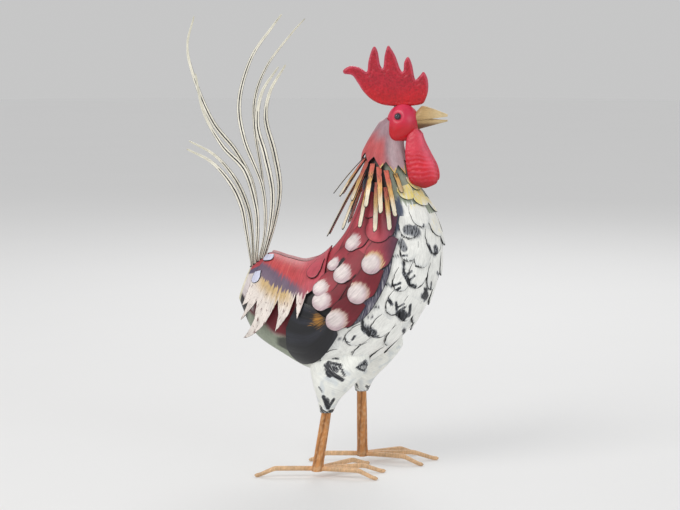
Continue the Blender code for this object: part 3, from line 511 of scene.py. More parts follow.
# Body: the rolled shell, with white feathers over the breast and the flanks
bodyLook = {
    "white": rgb(243, 243, 238), "cool": rgb(204, 209, 212), "cream": rgb(222, 216, 190),
    "lilac": rgb(214, 204, 204),
    "rose": rgb(178, 62, 74), "violet": rgb(92, 84, 108), "spot": rgb(108, 112, 122),
    "yellow": rgb(236, 216, 128), "greenGrey": rgb(148, 156, 138), "blueGrey": rgb(84, 92, 112),
    "maroon": rgb(108, 20, 34), "dish": rgb(34, 30, 32), "core": rgb(52, 34, 32), "rows": 190, "columns": 144,
    "rumpDish": 14, "rumpRim": 2.0, "end": 11.5, "rootLift": -2.4, "tipLift": 2.6,
    "yoke": 8.2,  # the station above which feathers are cut and painted more quietly
    # how dark a feather's own edge, the wash and painted shadow under the next one and on the shell may be
    "outline": 0.24, "washAndShadow": 0.54, "shellWashAndShadow": 0.48, "spotShare": 0.85,
    # painted zones: paint and strength, then bands of 0 for along the body or 1 for round it, how far their
    # edges wander and stray, where they start and where they are full
    "zones": [
        ("greenGrey", 1.0, (0, 0.3, 0, 3.1, 2.5), (1, 10, 0, 108, 120)),
        ("maroon", 1.0, (0, 0, 0, 2.9, 2.5), (1, 6, 0, 124, 114)),
        ("greenGrey", 1.0, (0, 0, 1, 8.85, 8.95), (0, 0, 0, 10.6, 10.4)),
        # painted shade: black-brown on the neck under the hackle strips
        ("core", 1.0, (0, 0, 0, 8.2, 8.6), (0, 0, 0, 10.6, 10.4), (1, 0, 0, 84, 74)),
        ("blueGrey", 1.0, (0, 0, 0, 7.4, 7.5), (0, 0, 1, 8.95, 8.85), (1, 12, 0, 94, 90)),
        # painted shade: near-black on the body under the saddle's front, the wing's back and the flight panel
        ("dish", 1.0, (0, 0, 0, 4.4, 4.1), (0, 0, 0, 2.7, 3.0), (1, 0, 0, 106, 98)),
        ("rose", 1.0, (0, 0, 0, 8.4, 8.0), (0, 0, 0, 4.0, 4.3), (1, 0, 0, 66, 60)),
        # painted shade: near-black along the ridge, in the gap between the saddle halves
        ("dish", 1.0, (0, 0, 0, 8.0, 6.0), (1, 3, 0, 7, 4)),
        ("rose", 1.0, (0, 0, 0, 1.3, 1.1), (1, 0, 0, 42, 34)),
        ("violet", 1.0, (0, 0, 0, 1.1, 0.9), (1, 0, 14, 34, 38), (1, 0, 0, 58, 50)),
        ("lilac", 1.0, (0, 0, 0, 1.0, 0.8), (1, 0, 14, 50, 56), (1, 0, 0, 118, 112)),
        # painted shade: near-black band under the rear end of the flight panel
        ("dish", 0.85, (0, 0, 0, 1.75, 1.95), (0, 0, 0, 2.6, 2.4), (1, 9, 0, 119, 123), (1, 9, 0, 144, 139)),
        # painted shade: near-black on the underside of the rump near its open end
        ("dish", 1.0, (0, 0, 0, 0.8, 0.5), (1, 0, 14, 112, 118)),
    ],
    # station and angle of the tip, length, width, how much black is brushed at the tip
    "feathers": [
        (9.10, 140, 34, 27, 0.0), (9.58, 146, 28, 20, 0.0), (9.06, 110, 30, 22, 0.1),
        (8.35, 124, 44, 30, 0.0), (8.30, 158, 44, 32, 0.0),
        (7.72, 146, 46, 34, 0.25), (7.70, 104, 42, 30, 0.1), (7.00, 107, 40, 25, 0.15),
        (7.10, 126, 44, 30, 0.2), (6.12, 112, 40, 25, 0.35), (6.50, 128, 46, 30, 0.45),
        (6.72, 155, 48, 32, 0.5), (5.64, 140, 46, 32, 0.55), (5.50, 120, 42, 28, 0.3),
        (4.80, 126, 44, 30, 0.5), (5.75, 162, 44, 30, 0.4), (4.95, 150, 44, 30, 0.35),
        (4.12, 118, 42, 28, 0.15), (4.10, 142, 42, 30, 0.3), (4.40, 166, 42, 30, 0.4),
        (3.24, 134, 40, 28, 0.2), (3.46, 160, 42, 30, 0.35),
    ],
    "middle": [(9.00, 180, 34, 26, 0.0), (8.05, 180, 44, 30, 0.0), (7.15, 180, 46, 30, 0.4),
               (5.55, 180, 46, 32, 0.5), (6.30, 180, 46, 30, 0.4), (4.75, 180, 44, 30, 0.4)],
    # strokes of black paint: station and angle at both ends, radius in mm, strength
    "strokes": [
        (7.97, 101, 8.08, 114, 6.0, 0.50), (8.10, 103, 8.20, 112, 2.8, 0.60),
        (7.46, 96, 7.34, 101, 4.2, 0.46), (7.91, 145, 7.78, 147, 4.2, 0.66),
        (7.91, 132, 7.72, 138, 1.2, 0.70), (6.03, 96, 6.08, 104, 1.2, 0.70),
        (6.08, 104, 6.37, 111, 1.2, 0.70), (6.93, 106, 6.69, 110, 1.6, 0.75),
        (6.69, 110, 6.53, 122, 2.2, 0.80), (6.53, 122, 6.59, 129, 1.8, 0.75),
        (6.65, 113, 6.90, 118, 1.1, 0.66), (6.61, 119, 6.83, 123, 1.1, 0.66),
        (6.87, 93, 7.20, 106, 1.0, 0.70), (6.70, 147, 6.53, 161, 2.6, 0.75),
        (6.93, 151, 6.75, 154, 1.3, 0.70), (6.52, 149, 6.48, 159, 4.2, 0.72),
        (5.88, 119, 5.68, 128, 1.6, 0.75), (5.68, 128, 5.71, 140, 2.2, 0.80),
        (5.79, 131, 5.80, 139, 4.6, 0.72), (6.09, 137, 5.87, 144, 2.0, 0.75),
        (5.83, 124, 6.00, 128, 1.1, 0.66), (5.80, 128, 5.98, 132, 1.1, 0.66),
        (5.07, 98, 4.83, 103, 1.4, 0.70), (4.83, 103, 4.70, 114, 1.9, 0.80),
        (4.70, 114, 4.78, 125, 2.3, 0.80), (4.78, 125, 4.94, 130, 1.7, 0.75),
        (4.80, 116, 4.90, 124, 4.4, 0.64), (5.00, 108, 5.10, 110, 0.9, 0.66),
        (5.14, 98, 5.43, 109, 1.1, 0.70), (5.78, 110, 5.76, 116, 2.0, 0.70),
        (3.97, 112, 4.21, 119, 0.9, 0.60), (4.32, 118, 4.42, 116, 1.3, 0.70),
        (5.52, 156, 5.45, 170, 2.6, 0.70), (6.13, 111, 6.25, 113, 1.5, 0.66),
        (8.44, 125, 8.35, 123, 1.0, 0.60), (7.26, 160, 7.15, 175, 1.6, 0.60),
    ],
    # strokes on the outer side of the thighs: x and z at both ends, radius, strength
    "thighStrokes": [
        (19, 149, 22, 140, 4.5, 0.72), (22, 142, 38, 133, 2.6, 0.80), (18, 160, 33, 158, 1.4, 0.75),
        (20, 166, 29, 170, 1.3, 0.75), (20, 154, 36, 151, 1.4, 0.75), (35, 151, 41, 138, 1.4, 0.75),
        (57, 147, 66, 142, 1.3, 0.70), (57, 148, 68, 153, 1.1, 0.70), (67, 153, 75, 149, 3.2, 0.66),
        (62, 144, 72, 144, 1.2, 0.60), (14, 109, 19, 94, 2.4, 0.80), (27, 106, 20, 95, 1.6, 0.75),
        (18, 105, 18, 99, 3.2, 0.72), (24, 151, 31, 145, 3.6, 0.56), (63, 149, 70, 149, 5.2, 0.52),
        (8, 122, 12, 116, 0.9, 0.60),
    ],
}


def strokesNear(points, starts, ends, sizes, strengths):
    dark = np.zeros(points.shape[:-1])
    for start, end, size, strength in zip(starts, ends, sizes, strengths):
        line = end - start
        share = np.clip((points - start) @ line / (line @ line), 0, 1)
        gap = np.linalg.norm(points - start - share[..., None] * line, axis=-1)
        dark = np.maximum(dark, strength * (1 - soft(gap, size * 0.85, size * 1.35 + 0.5)))
    return dark


def bodyStrokes(points, lift):
    table = np.array(bodyLook["strokes"])
    dark = 0
    for side in (1, -1):
        starts = offSkin(table[:, 0], side * table[:, 1], lift)
        ends = offSkin(table[:, 2], side * table[:, 3], lift)
        dark = np.maximum(dark, strokesNear(points, starts, ends, table[:, 4], table[:, 5]))
    return dark


def thighStrokes(points, side, middle):
    table = np.array(bodyLook["thighStrokes"])
    dark = strokesNear(points[..., [0, 2]], table[:, 0:2], table[:, 2:4], table[:, 4], table[:, 5])
    return dark * (side * (points[..., 1] - middle) > 0)


def makeBody():
    look = bodyLook
    work = Metalwork("bodyShell")
    v = np.arange(look["columns"]) * 360 / look["columns"]
    u = np.linspace(0, look["end"], look["rows"])[:, None]
    rings = skin(u, v)
    middle = (skin(0, 0) + skin(0, 180)) / 2
    spokes = rings[0] - middle
    rim = middle + spokes * (1 - look["rumpRim"] / np.linalg.norm(spokes, axis=1, keepdims=True))
    inward = skinSlopes(0, 0)[0] + skinSlopes(0, 180)[0]
    inward = inward / np.linalg.norm(inward) * look["rumpDish"]
    dish = middle + inward + (rim - middle) * 0.75
    rings = np.concatenate([dish[None], (dish * 0.3 + rim * 0.7)[None], rim[None], rings])
    stationOf = np.concatenate([[-3, -2, -1], u[:, 0]])[:, None] * np.ones((1, len(v)))
    fold = np.where(v > 180, 360 - v, v)[None, :] * np.ones((len(rings), 1))
    paint = np.broadcast_to(look["white"], (*fold.shape, 3))
    wander = lumpsAt(rings, 0.05)
    paint = mixPaint(paint, look["cool"], soft(wander, 0.0, 0.5) * 0.35)
    stray = np.broadcast_to(jagged(fold[:1] * 0.8, 0.5, 3.0), fold.shape)
    for name, strength, *bands in look["zones"]:
        for axis, wandering, straying, start, full in bands:
            place = (stationOf, fold)[axis] + wandering * wander + straying * stray
            strength = strength * soft(place, start, full)
        paint = mixPaint(paint, look[name], strength)
    paint = mixPaint(paint, look["cream"], (stationOf >= -1) * soft(stationOf, 0.12, 0.04))
    # painted shade: near-black inside the rump's hollow
    paint = mixPaint(paint, look["dish"], (stationOf < -0.5) * 1.0)
    order = sorted(look["feathers"] + look["middle"], key=lambda row: row[0])
    shapes = {}
    for number, (tipU, tipV, length, width, black) in enumerate(order):
        for side in (-1, 1) if tipV < 180 else (1,):
            seed = number + 0.5 * side + 3
            rag = 2.4 + 3.4 * chance(seed, 7) if tipU < look["yoke"] else 1.2
            shapes[number, side] = featherShape(tipU, tipV, length, width, side, 0, None, 26, 25, rag, seed)
    low = [shape for shape in shapes.values() if shape["tip"][0] < look["yoke"]]
    signed = np.where(v > 180, v - 360, v)[None, :] + 0 * stationOf
    spot = bodyStrokes(rings, 0.0)
    paint = mixPaint(paint, look["spot"], look["spotShare"] * soft(spot, 0.1, 0.5))
    # painted shadow and black wash on the shell under the tips of the lower feathers
    dark = np.maximum(0.9 * spot, look["shellWashAndShadow"] * washAndShadowUnder(low, stationOf, signed))
    work.addTube(rings, paint=paint, second=look["white"], dark=dark)

    for (number, side), shape in shapes.items():
        tipU, tipV, length, width, black = order[number]
        seed = shape["seed"]
        points = offSkin(shape["u"], shape["v"], 3.0)
        tone = 1 + (0.10 * chance(seed, 5) - 0.06) * soft(shape["share"], 0.35, 0.7)
        paint = look["white"] * tone[..., None]
        # painted shade: cool grey along the edge of each feather's rounded tip
        tipEdgeShade = soft(shape["rim"], 5, 0.5) * soft(shape["share"], 0.6, 0.9)
        paint = mixPaint(paint, look["cool"], 0.4 * tipEdgeShade)
        high = soft(points[..., 2], 338, 368) * soft(points[..., 0], 92, 112)
        edge = 0.6 * soft(points[..., 2], 285, 325) * soft(points[..., 0], 143, 152)
        gold = np.maximum(high, edge) * (0.5 + 0.5 * chance(seed, 13))
        second = mixPaint(look["cool"], look["yellow"], soft(gold, 0.02, 0.2))
        tip = soft(shape["rim"], 8, 1) * soft(shape["share"], 0.62, 0.95)
        quiet = 1.0 if tipU < look["yoke"] else 0.55
        stray = jagged(shape["across"] * 1.6, 1.6, seed)
        outline = look["outline"] * chance(seed, 11) * quiet * soft(shape["rim"] + stray, 2.4, 0.4)
        outline = outline * soft(shape["share"], 0.5, 0.8)
        over = [other for (n, _), other in shapes.items() if n > number and other["tip"][0] > tipU + 0.2]
        broken = 0.08 + 0.92 * soft(lumpsAt(points, 0.06), -0.08, 0.20)
        # painted shadow and black wash under the tips of the feathers that lie over this one
        washAndShadow = look["washAndShadow"] * quiet * washAndShadowUnder(over, shape["u"], shape["v"]) * broken
        spot = bodyStrokes(points, 3.0)
        paint = mixPaint(paint, look["spot"], look["spotShare"] * soft(spot, 0.1, 0.5))
        dark = np.maximum(np.maximum(0.3 * black * tip + outline, washAndShadow), 0.95 * spot)
        step = 0.25 * chance(seed, 9)
        addFeather(work, shape, look["rootLift"], look["tipLift"] - 0.9 + step, 1, 0.9, paint=paint,
                   second=second, blend=0.22 + 0.36 * gold, dark=dark, rim=shape["rim"] + (quiet < 1) * 0.3)
    work.weld([shellPaint, whitePaint], ["body"], "white_paint")


makeBody()

# Wings: a base sheet with round-ended feathers, most of them tipped with white
wingLook = {
    "rose": rgb(190, 76, 88), "red": rgb(156, 44, 58), "deep": rgb(104, 26, 38), "violet": rgb(58, 54, 76),
    "tip": rgb(228, 216, 214), "discShade": rgb(190, 162, 170), "cream": rgb(212, 178, 120),
    "pale": rgb(206, 204, 210), "seat": 1.3, "tipLift": 6.2, "grid": (46, 36),
    "sheetWashAndShadow": 0.74, "washAndShadow": 0.76, "frontStrokes": 0.36, "disc": 0.84, "crown": 1.1,
    "sheet": [(4.30, 44, 105), (4.90, 33, 105), (5.60, 26, 101), (6.40, 26, 96), (7.20, 28, 89),
              (7.90, 34, 85), (8.40, 46, 74)],
    # station and angle of the tip, length, width, turn, radius of the tip, white in the tip, depth of the
    # red, cream streaks over the tip
    "feathers": [
        (3.35, 73, 50, 30, 16, 11.5, 1.0, 0.75, 0.1), (3.73, 95, 54, 34, 12, 12.5, 1.0, 0.95, 0.3),
        (3.43, 60, 50, 26, 14, 10.0, 1.0, 0.35, 0.2), (4.29, 42, 46, 26, -3, 8.5, 0.95, 0.25, 0.0),
        (4.45, 58, 52, 31, 0, 11.5, 1.0, 0.35, 0.2), (4.72, 84, 56, 34, 6, 12.5, 1.0, 0.75, 0.4),
        (5.54, 40, 46, 28, -22, 10.5, 0.95, 0.2, 0.1), (5.70, 74, 56, 34, -8, 12.5, 1.0, 0.15, 0.9),
        (6.70, 62, 44, 38, -18, 16.5, 0.0, 0.05, 0.0), (7.25, 44, 34, 28, -15, 12.5, 0.0, 0.25, 0.0),
    ],
}


def makeWing(side, hand):
    look = wingLook
    work = Metalwork("wing" + hand)
    u, v, share, ends = panelGrid(look)
    v = side * v
    rim = np.minimum(ends * 2.0, np.minimum(share, 1 - share) * 60)
    lower, upper = offSkin(u, v, look["seat"]), offSkin(u, v, look["seat"] + sheetThick)
    toFront = share + 0 * u
    front = soft(toFront, 0.66, 0.98)
    paint = mixPaint(look["rose"], look["deep"], np.maximum(soft(toFront, 0.4, 0.9), soft(u, 6.0, 5.0)))
    paint = mixPaint(paint, look["pale"], soft(toFront, 0.82, 0.95))
    grain = np.stack([share * 60 + u * 16, u * 22 - share * 20, 0 * u], -1)
    shapes = [featherShape(tipU, tipV, length, width, side, turn, radius, 36, 27, 0.0, number + 40.0)
              for number, (tipU, tipV, length, width, turn, radius, *_) in enumerate(look["feathers"])]
    strokes = look["frontStrokes"] * soft(toFront, 0.76, 0.95)
    # painted shadow and black wash on the wing sheet under the feather tips
    dark = np.maximum(look["sheetWashAndShadow"] * washAndShadowUnder(shapes, u, v, corner=3.0), strokes)
    front = front * (0.86 - 0.28 * soft(toFront, 0.82, 0.97))
    work.addPlate(lower, upper, paint=paint, second=look["violet"], blend=front, dark=dark, rim=rim,
                  grain=grain)
    for number, (tipU, tipV, length, width, turn, radius, white, deep, cream) in enumerate(look["feathers"]):
        shape = shapes[number]
        over = [other for other in shapes[number + 1:] if other["tip"][0] > tipU + 0.15]
        fromTip, across = shape["fromTip"], shape["across"]
        paint = mixPaint(look["rose"], look["red"], np.full_like(fromTip, min(deep * 2, 1)))
        paint = mixPaint(paint, look["deep"], np.full_like(fromTip, max(deep * 2 - 1, 0)))
        # painted shade: deeper red towards each feather's root and along its edge
        rootAndEdgeShade = 0.45 * soft(shape["share"], 0.7, 0.3) + 0.25 * soft(shape["rim"], 4, 0)
        paint = mixPaint(paint, look["deep"], rootAndEdgeShade)
        reach = offSkin(shape["u"], shape["v"], 2)[..., 0]
        nearFront = soft(reach, 82, 108) * soft(np.abs(shape["v"]), 58, 74)
        paint = mixPaint(paint, look["violet"], 0.75 * nearFront)
        beyond = np.where(fromTip > radius, (fromTip - radius) * 0.80, fromTip - radius)
        disc = np.hypot(across, beyond) / radius
        streaks = soft(fromTip, radius * 3.2, radius * 1.5) * soft(np.abs(shape["a"]), 1.0, 0.4)
        top = soft(fromTip, radius * 0.7, radius * 1.3)  # streaky towards the root, round at the tip
        disced = look["disc"] * (1 - soft(disc, 0.84 - 0.30 * top, 1.24 + 0.52 * top))
        tipShare = white * np.maximum(disced, (0.28 + 0.16 * (cream > 0.1)) * streaks)
        # painted shade: the white disc darkens to lilac grey away from a lit spot a little off its middle
        fromLitSpot = np.hypot(across + 3, fromTip - radius - 2) / radius
        tipPaint = mixPaint(look["tip"], look["discShade"], 0.8 * soft(fromLitSpot, 0.5, 1.1))
        creamed = cream * soft(disc, 0.65, 1.1) * soft(fromTip, radius, radius * 1.4)
        tipPaint = mixPaint(tipPaint, look["cream"], np.clip(creamed, 0, 1))
        dark = 0.50 * soft(shape["rim"], 1.5, 0.2) * soft(shape["share"], 0.35, 0.6)
        # painted shadow and black wash under the tips of the feathers over this one
        dark = np.maximum(dark, look["washAndShadow"] * washAndShadowUnder(over, shape["u"], shape["v"], 1.1, 3.5))
        crown = look["crown"] if white else 0.4
        addFeather(work, shape, look["seat"] + sheetThick / 2, look["tipLift"] - sheetThick - 0.5, 0, crown,
                   paint=paint, second=tipPaint, blend=np.clip(tipShare, 0, 1), dark=dark)
    work.weld([wingPaint], [f"wing_{hand.lower()}"], "maroon_paint")


for side, hand in bothSides:
    makeWing(side, hand)

# Flight feathers: a fluted black panel under each wing, with a gold spot
flightLook = {
    "black": rgb(24, 25, 30), "crestHighlight": rgb(46, 48, 58), "gold": rgb(176, 122, 44),
    "seat": 1.3, "rib": 0.7, "ribs": 11, "grid": (80, 110), "stationLength": 21,
    "sheet": [(2.22, 104, 134), (2.40, 88, 144), (2.65, 73, 148), (2.95, 69, 140), (3.25, 72, 131),
              (3.60, 83, 119), (3.98, 95, 107)],
    "spot": (3.46, 87, 8.5), "fan": (3.95, 84),  # gold spot and its size, place that the flutes spread from
}


def makeFlightFeathers(side, hand):
    look = flightLook
    work = Metalwork("flightFeathers" + hand)
    u, v, share, ends = panelGrid(look)
    fanU, fanV = look["fan"]
    back = (fanU - u) * look["stationLength"]
    turned = np.arctan2((v - fanV) * 1.05, back + 4) + 0.12 * (fanU - u)
    rib = np.abs(np.sin(turned * look["ribs"] / 2)) ** 0.7
    lift = look["seat"] + look["rib"] * rib
    lower, upper = offSkin(u, side * v, lift), offSkin(u, side * v, lift + sheetThick)
    rim = np.minimum(np.minimum(share, 1 - share) * 70, ends * 0.8)
    # painted highlight: lighter blue-black along the crests of the flutes
    paint = mixPaint(look["black"], look["crestHighlight"], soft(rib, 0.7, 1.0) * 0.55)
    spotU, spotV, size = look["spot"]
    gap = np.linalg.norm(upper - skin(spotU, side * spotV), axis=-1)
    gold = np.clip(1 - gap / (size * 2.1), -0.6, 1) * 0.76
    grain = np.stack([np.degrees(turned), np.hypot(v - fanV, back), 0 * u], -1)
    work.addPlate(lower, upper, paint=paint, second=look["gold"], blend=gold, rim=rim, grain=grain)
    work.weld([flightPaint], [f"flight_feathers_{hand.lower()}"], "black_paint")


for side, hand in bothSides:
    makeFlightFeathers(side, hand)

# Saddle: two halves over the back, cut into a fringe of points
saddleLook = {
    "red": rgb(192, 72, 76), "rose": rgb(186, 74, 88), "light": rgb(218, 118, 104),
    "blueGrey": rgb(92, 90, 112), "ochre": rgb(196, 158, 84), "cream": rgb(236, 226, 218),
    "lilac": rgb(206, 208, 230), "lip": rgb(232, 180, 182),
    "seat": 1.9, "upper": 3.0, "curl": 3.0, "hem": 2.2,
    # station on the ridge, station and angle at the cut edge, lift there
    "rows": [
        (4.62, 3.95, 50, 2.0), (3.80, 3.08, 60, 3.2), (3.50, 2.68, 87, 7.0), (3.15, 2.62, 60, 4.0),
        (2.85, 2.35, 86, 6.0), (2.60, 1.92, 112, 9.0), (2.35, 1.98, 92, 7.0), (2.15, 1.88, 77, 5.0),
        (1.95, 1.55, 110, 9.0), (1.75, 1.02, 152, 17.0), (1.60, 1.20, 114, 10.0), (1.45, 1.12, 91, 6.0),
        (1.35, 0.90, 112, 8.0), (1.25, 0.74, 134, 12.0), (1.18, 0.82, 100, 8.0), (1.12, 0.60, 114, 9.0),
        (1.06, 0.66, 66, 5.0),
    ],
    "points": (2, 5, 9, 13, 15),  # the rows that end in a point of the fringe
    # angles where the blue band starts and ends, from the rump forward
    "bandStations": [0.8, 1.5, 2.1, 2.65, 3.2, 3.8],
    "bandStart": [34, 43, 47, 51, 55, 60], "bandEnd": [56, 62, 62, 60, 58, 62],
    # small feathers over it: station and angle of the tip, length, width, turn, 1 for the pale ones, lifts
    "over": [(3.29, 42, 34, 22, 50, 0.0, 2.9, 5.7), (0.82, 72, 18, 12.5, 107, 1.0, 4.6, 6.2),
             (1.09, 33, 18, 12.5, 107, 1.0, 2.6, 4.4)],
}


def makeSaddle(side, hand):
    look = saddleLook
    work = Metalwork("saddle" + hand)
    table, last = look["rows"], len(look["rows"]) - 1
    t = np.linspace(0, last, last * 10 + 1)
    slim = t.copy()  # draws the fringe in beside each point, so that the points are slim
    for n in look["points"]:
        slim = np.where((t > n - 1) & (t < n), n - 1 + np.clip(t - n + 1, 0, 1) ** 1.7, slim)
        slim = np.where((t > n) & (t < n + 1), n + 1 - np.clip(n + 1 - t, 0, 1) ** 1.7, slim)
    row = lineAt(table, slim)
    ridge = lineAt(table, t)[:, :1]
    s = np.linspace(0, 1, 44)[None, :]
    u = ridge + (row[:, 1:2] - ridge) * s
    v = look["upper"] + (row[:, 2:3] - look["upper"]) * s
    lift = look["seat"] + (row[:, 3:4] - look["seat"]) * s**2
    tT = t[:, None] + 0 * s
    # the left half's upper edge stands up a little, is turned over and shows a pale lip
    edged = soft(tT, 0.6, 3) * (side > 0)
    lift = lift + look["curl"] * soft(v, 11, 3) * soft(tT, 15.5, 14) * edged
    hem, lip = look["hem"] * soft(v, 5.0, 3.6) * edged, soft(v, 11.0, 8.5) * edged
    lower, upper = offSkin(u, side * v, lift - hem), offSkin(u, side * v, lift + sheetThick)
    steps = np.linalg.norm(np.diff(upper, axis=1), axis=-1)
    down = np.concatenate([np.zeros((len(t), 1)), np.cumsum(steps, axis=1)], axis=1)
    along = tT * 6.0  # the brush went from the ridge down into each point
    toEdge = down[:, -1:] - down
    start = np.interp(u, look["bandStations"], look["bandStart"]) + jagged(along[:, :1], 7.0, 2.0 + side)
    end = np.interp(u, look["bandStations"], look["bandEnd"]) + jagged(along[:, :1], 9.0, 6.0 + side)
    paint = mixPaint(look["red"], look["rose"], soft(u, 2.2, 3.6))
    light = soft(jagged(along[:, :1], 1.0, 11.0), 0.0, 0.5) * soft(v, 8, 20) * soft(v, 52, 36)
    paint = mixPaint(paint, look["light"], 0.45 * light)
    paint = mixPaint(paint, look["blueGrey"], 0.9 * soft(v, start - 5, start + 5) * soft(u, 3.5, 2.4))
    warm = soft(v, end + 26, end + 6) * soft(u, 2.7, 2.1) * soft(u, 0.7, 1.2)
    fringe = mixPaint(look["cream"], look["ochre"], 0.85 * warm)
    fringe = mixPaint(fringe, look["rose"], 0.35 * soft(v, end + 20, end) * soft(u, 2.4, 3.0))
    blend = 0.78 * soft(v, end - 6, end + 8)
    rim = np.minimum(np.minimum(toEdge, down), np.minimum(tT * 6 + 3, (last - tT) * 6))
    dark = 0.30 * soft(v, end - 2, end + 10) + 0.26 * soft(rim, 1.5, 0.2) * soft(v, end - 2, end + 10)
    grain = np.stack([along, down, 0 * down + side], -1)
    paint, rim, dark = mixPaint(paint, look["lip"], lip), rim + 9 * lip, dark * (1 - lip)
    back = (1 - lip) * soft(tT, 0.0, 0.8)
    work.addPlate(lower, upper, blackBack=back, paint=paint, second=fringe, blend=blend, rim=rim, dark=dark,
                  grain=grain)
    for number, (tipU, tipV, length, width, turn, pale, rootLift, tipLift) in enumerate(look["over"]):
        shape = featherShape(tipU, tipV, length, width, side, turn, width * 0.47, 24, 19, 0.0, 90.0 + number)
        paint = mixPaint(look["rose"], look["lilac"], np.full(shape["share"].shape, pale))
        dark = 0.5 * soft(shape["rim"], 1.5, 0.2) * soft(shape["share"], 0.3, 0.6) * (1 - 0.6 * pale)
        addFeather(work, shape, rootLift, tipLift, 0, 0.8, paint=paint, second=paint, dark=dark)
    work.weld([saddlePaint], [f"saddle_{hand.lower()}"], "maroon_paint")


for side, hand in bothSides:
    makeSaddle(side, hand)

# Head, with its ear lobes and the rims round its eyes
headLook = {
    "centre": (111, 0, 459), "radii": (21.0, 19.5, 24.0), "lobe": (-0.46, 0.66, -0.60), "lobeHeight": 0.32,
    "rose": rgb(208, 44, 78), "red": rgb(194, 16, 32), "topHighlight": rgb(222, 92, 118), "weld": rgb(58, 50, 54),
    "lid": rgb(50, 26, 36), "eye": (105, 468), "eyeRadius": 3.4, "socket": (6.2, 1.7, 0.6),
    "pupil": rgb(34, 40, 54), "skyReflection": rgb(66, 78, 100),
    # x, y and size of the welds under the comb
    "beads": [(101, -2.0, 1.8), (109, 1.8, 2.0), (117, -1.4, 1.8)],
}

# Collar: a cone of sheet round the neck, toothed at its lower edge
collarLook = {
    "mauve": rgb(156, 126, 134), "pale": rgb(214, 196, 198), "red": rgb(186, 68, 70),
    "ochre": rgb(212, 178, 108),
    "top": 12.1, "tip": 9.72, "root": 10.12, "throat": 1.0, "teeth": 13, "seat": 0.7, "flare": 3.5,
}


def makeCollar():
    look = collarLook
    work = Metalwork("neckCollar")
    count = look["teeth"] * 2
    j = np.linspace(0, count, count * 7 + 1)[None, :-1]
    front = (1 - np.cos(2 * math.pi * j / count)) / 2
    tooth = np.abs((j % 2) - 1)  # 1 at the roots, 0 at the tips
    edge = look["tip"] + (look["root"] - look["tip"]) * tooth ** 0.85 + look["throat"] * front**6
    share = np.linspace(0, 1, 30)[:, None]
    u = edge + (look["top"] - edge) * share
    v = 360 * j / count + 0 * share
    flare = look["flare"] * (1 - front**3) * (1 - share) ** 2
    inner, outer = offSkin(u, v, look["seat"] + flare), offSkin(u, v, look["seat"] + flare + sheetThick)
    centre, radii = np.array(headLook["centre"]), np.array(headLook["radii"])
    close = (soft(share, 0.80, 1.0) * soft(np.cos(np.radians(v)), 0.2, 0.75))[..., None]
    for skirt, proud in ((inner, 0.3), (outer, 1.4)):  # at the nape the cone is beaten down on to the head
        out = (skirt - centre) / radii
        onHead = centre + out / np.linalg.norm(out, axis=-1, keepdims=True) * (radii + proud)
        skirt += (onHead - skirt) * close * 0.9
    rings = np.concatenate([inner, outer[::-1]])
    fold = np.where(v > 180, 360 - v, v)
    wander = np.sin(v / 17) * 0.15 + np.sin(v / 7 + u * 3) * 0.08
    paint = mixPaint(look["mauve"], look["pale"], np.maximum(soft(fold, 16, 4), 0.35 * soft(fold, 84, 100)))
    low = soft(u + 1.6 * wander - 0.008 * (70 - fold), 11.3, 10.3) * soft(fold + 40 * wander, 98, 66)
    paint = mixPaint(paint, look["red"], 0.9 * low)
    toothShare = soft(share + 0 * v, 0.10, 0.01) * soft(tooth, 0.75, 0.35)
    toothShare = toothShare * (0.35 + 0.65 * soft(fold, 60, 84))
    rim = (u - edge) * 24
    folded = (np.concatenate([value, value[::-1]]) for value in (paint, toothShare, rim + 0 * v))
    paint, toothShare, rim = folded  # the same on the inner and the outer skin
    work.add(rings, hoopFaces(*rings.shape[:2]), paint=paint.reshape(-1, 3), second=look["ochre"],
             blend=toothShare.ravel(), rim=rim.ravel())
    work.weld([collarPaint], ["neck_collar"], "neck_paint")


makeCollar()

# Hackle: narrow strips hung round the neck, salmon at the root and cream at the tip
hackleLook = {
    "salmon": rgb(196, 96, 80), "ochre": rgb(214, 168, 100), "cream": rgb(230, 218, 194), "width": 7.6,
    "taper": 0.8, "droop": 0.08, "bow": 0.9, "askew": 2.4, "crown": 0.55,
    # name, root station, root lift, length and lean at the nape, length and lean at the side, angles
    "rows": [
        ("upper", 9.80, 0.9, 58, 33, 66, 13, (0, 17, 34, 50, 65, 80)),
        ("lower", 9.05, 1.8, 94, 27, 62, 10, (8, 25, 42, 57, 72)),
        ("front", 9.86, 0.9, 28, 10, 28, 10, (100,)),
    ],
}


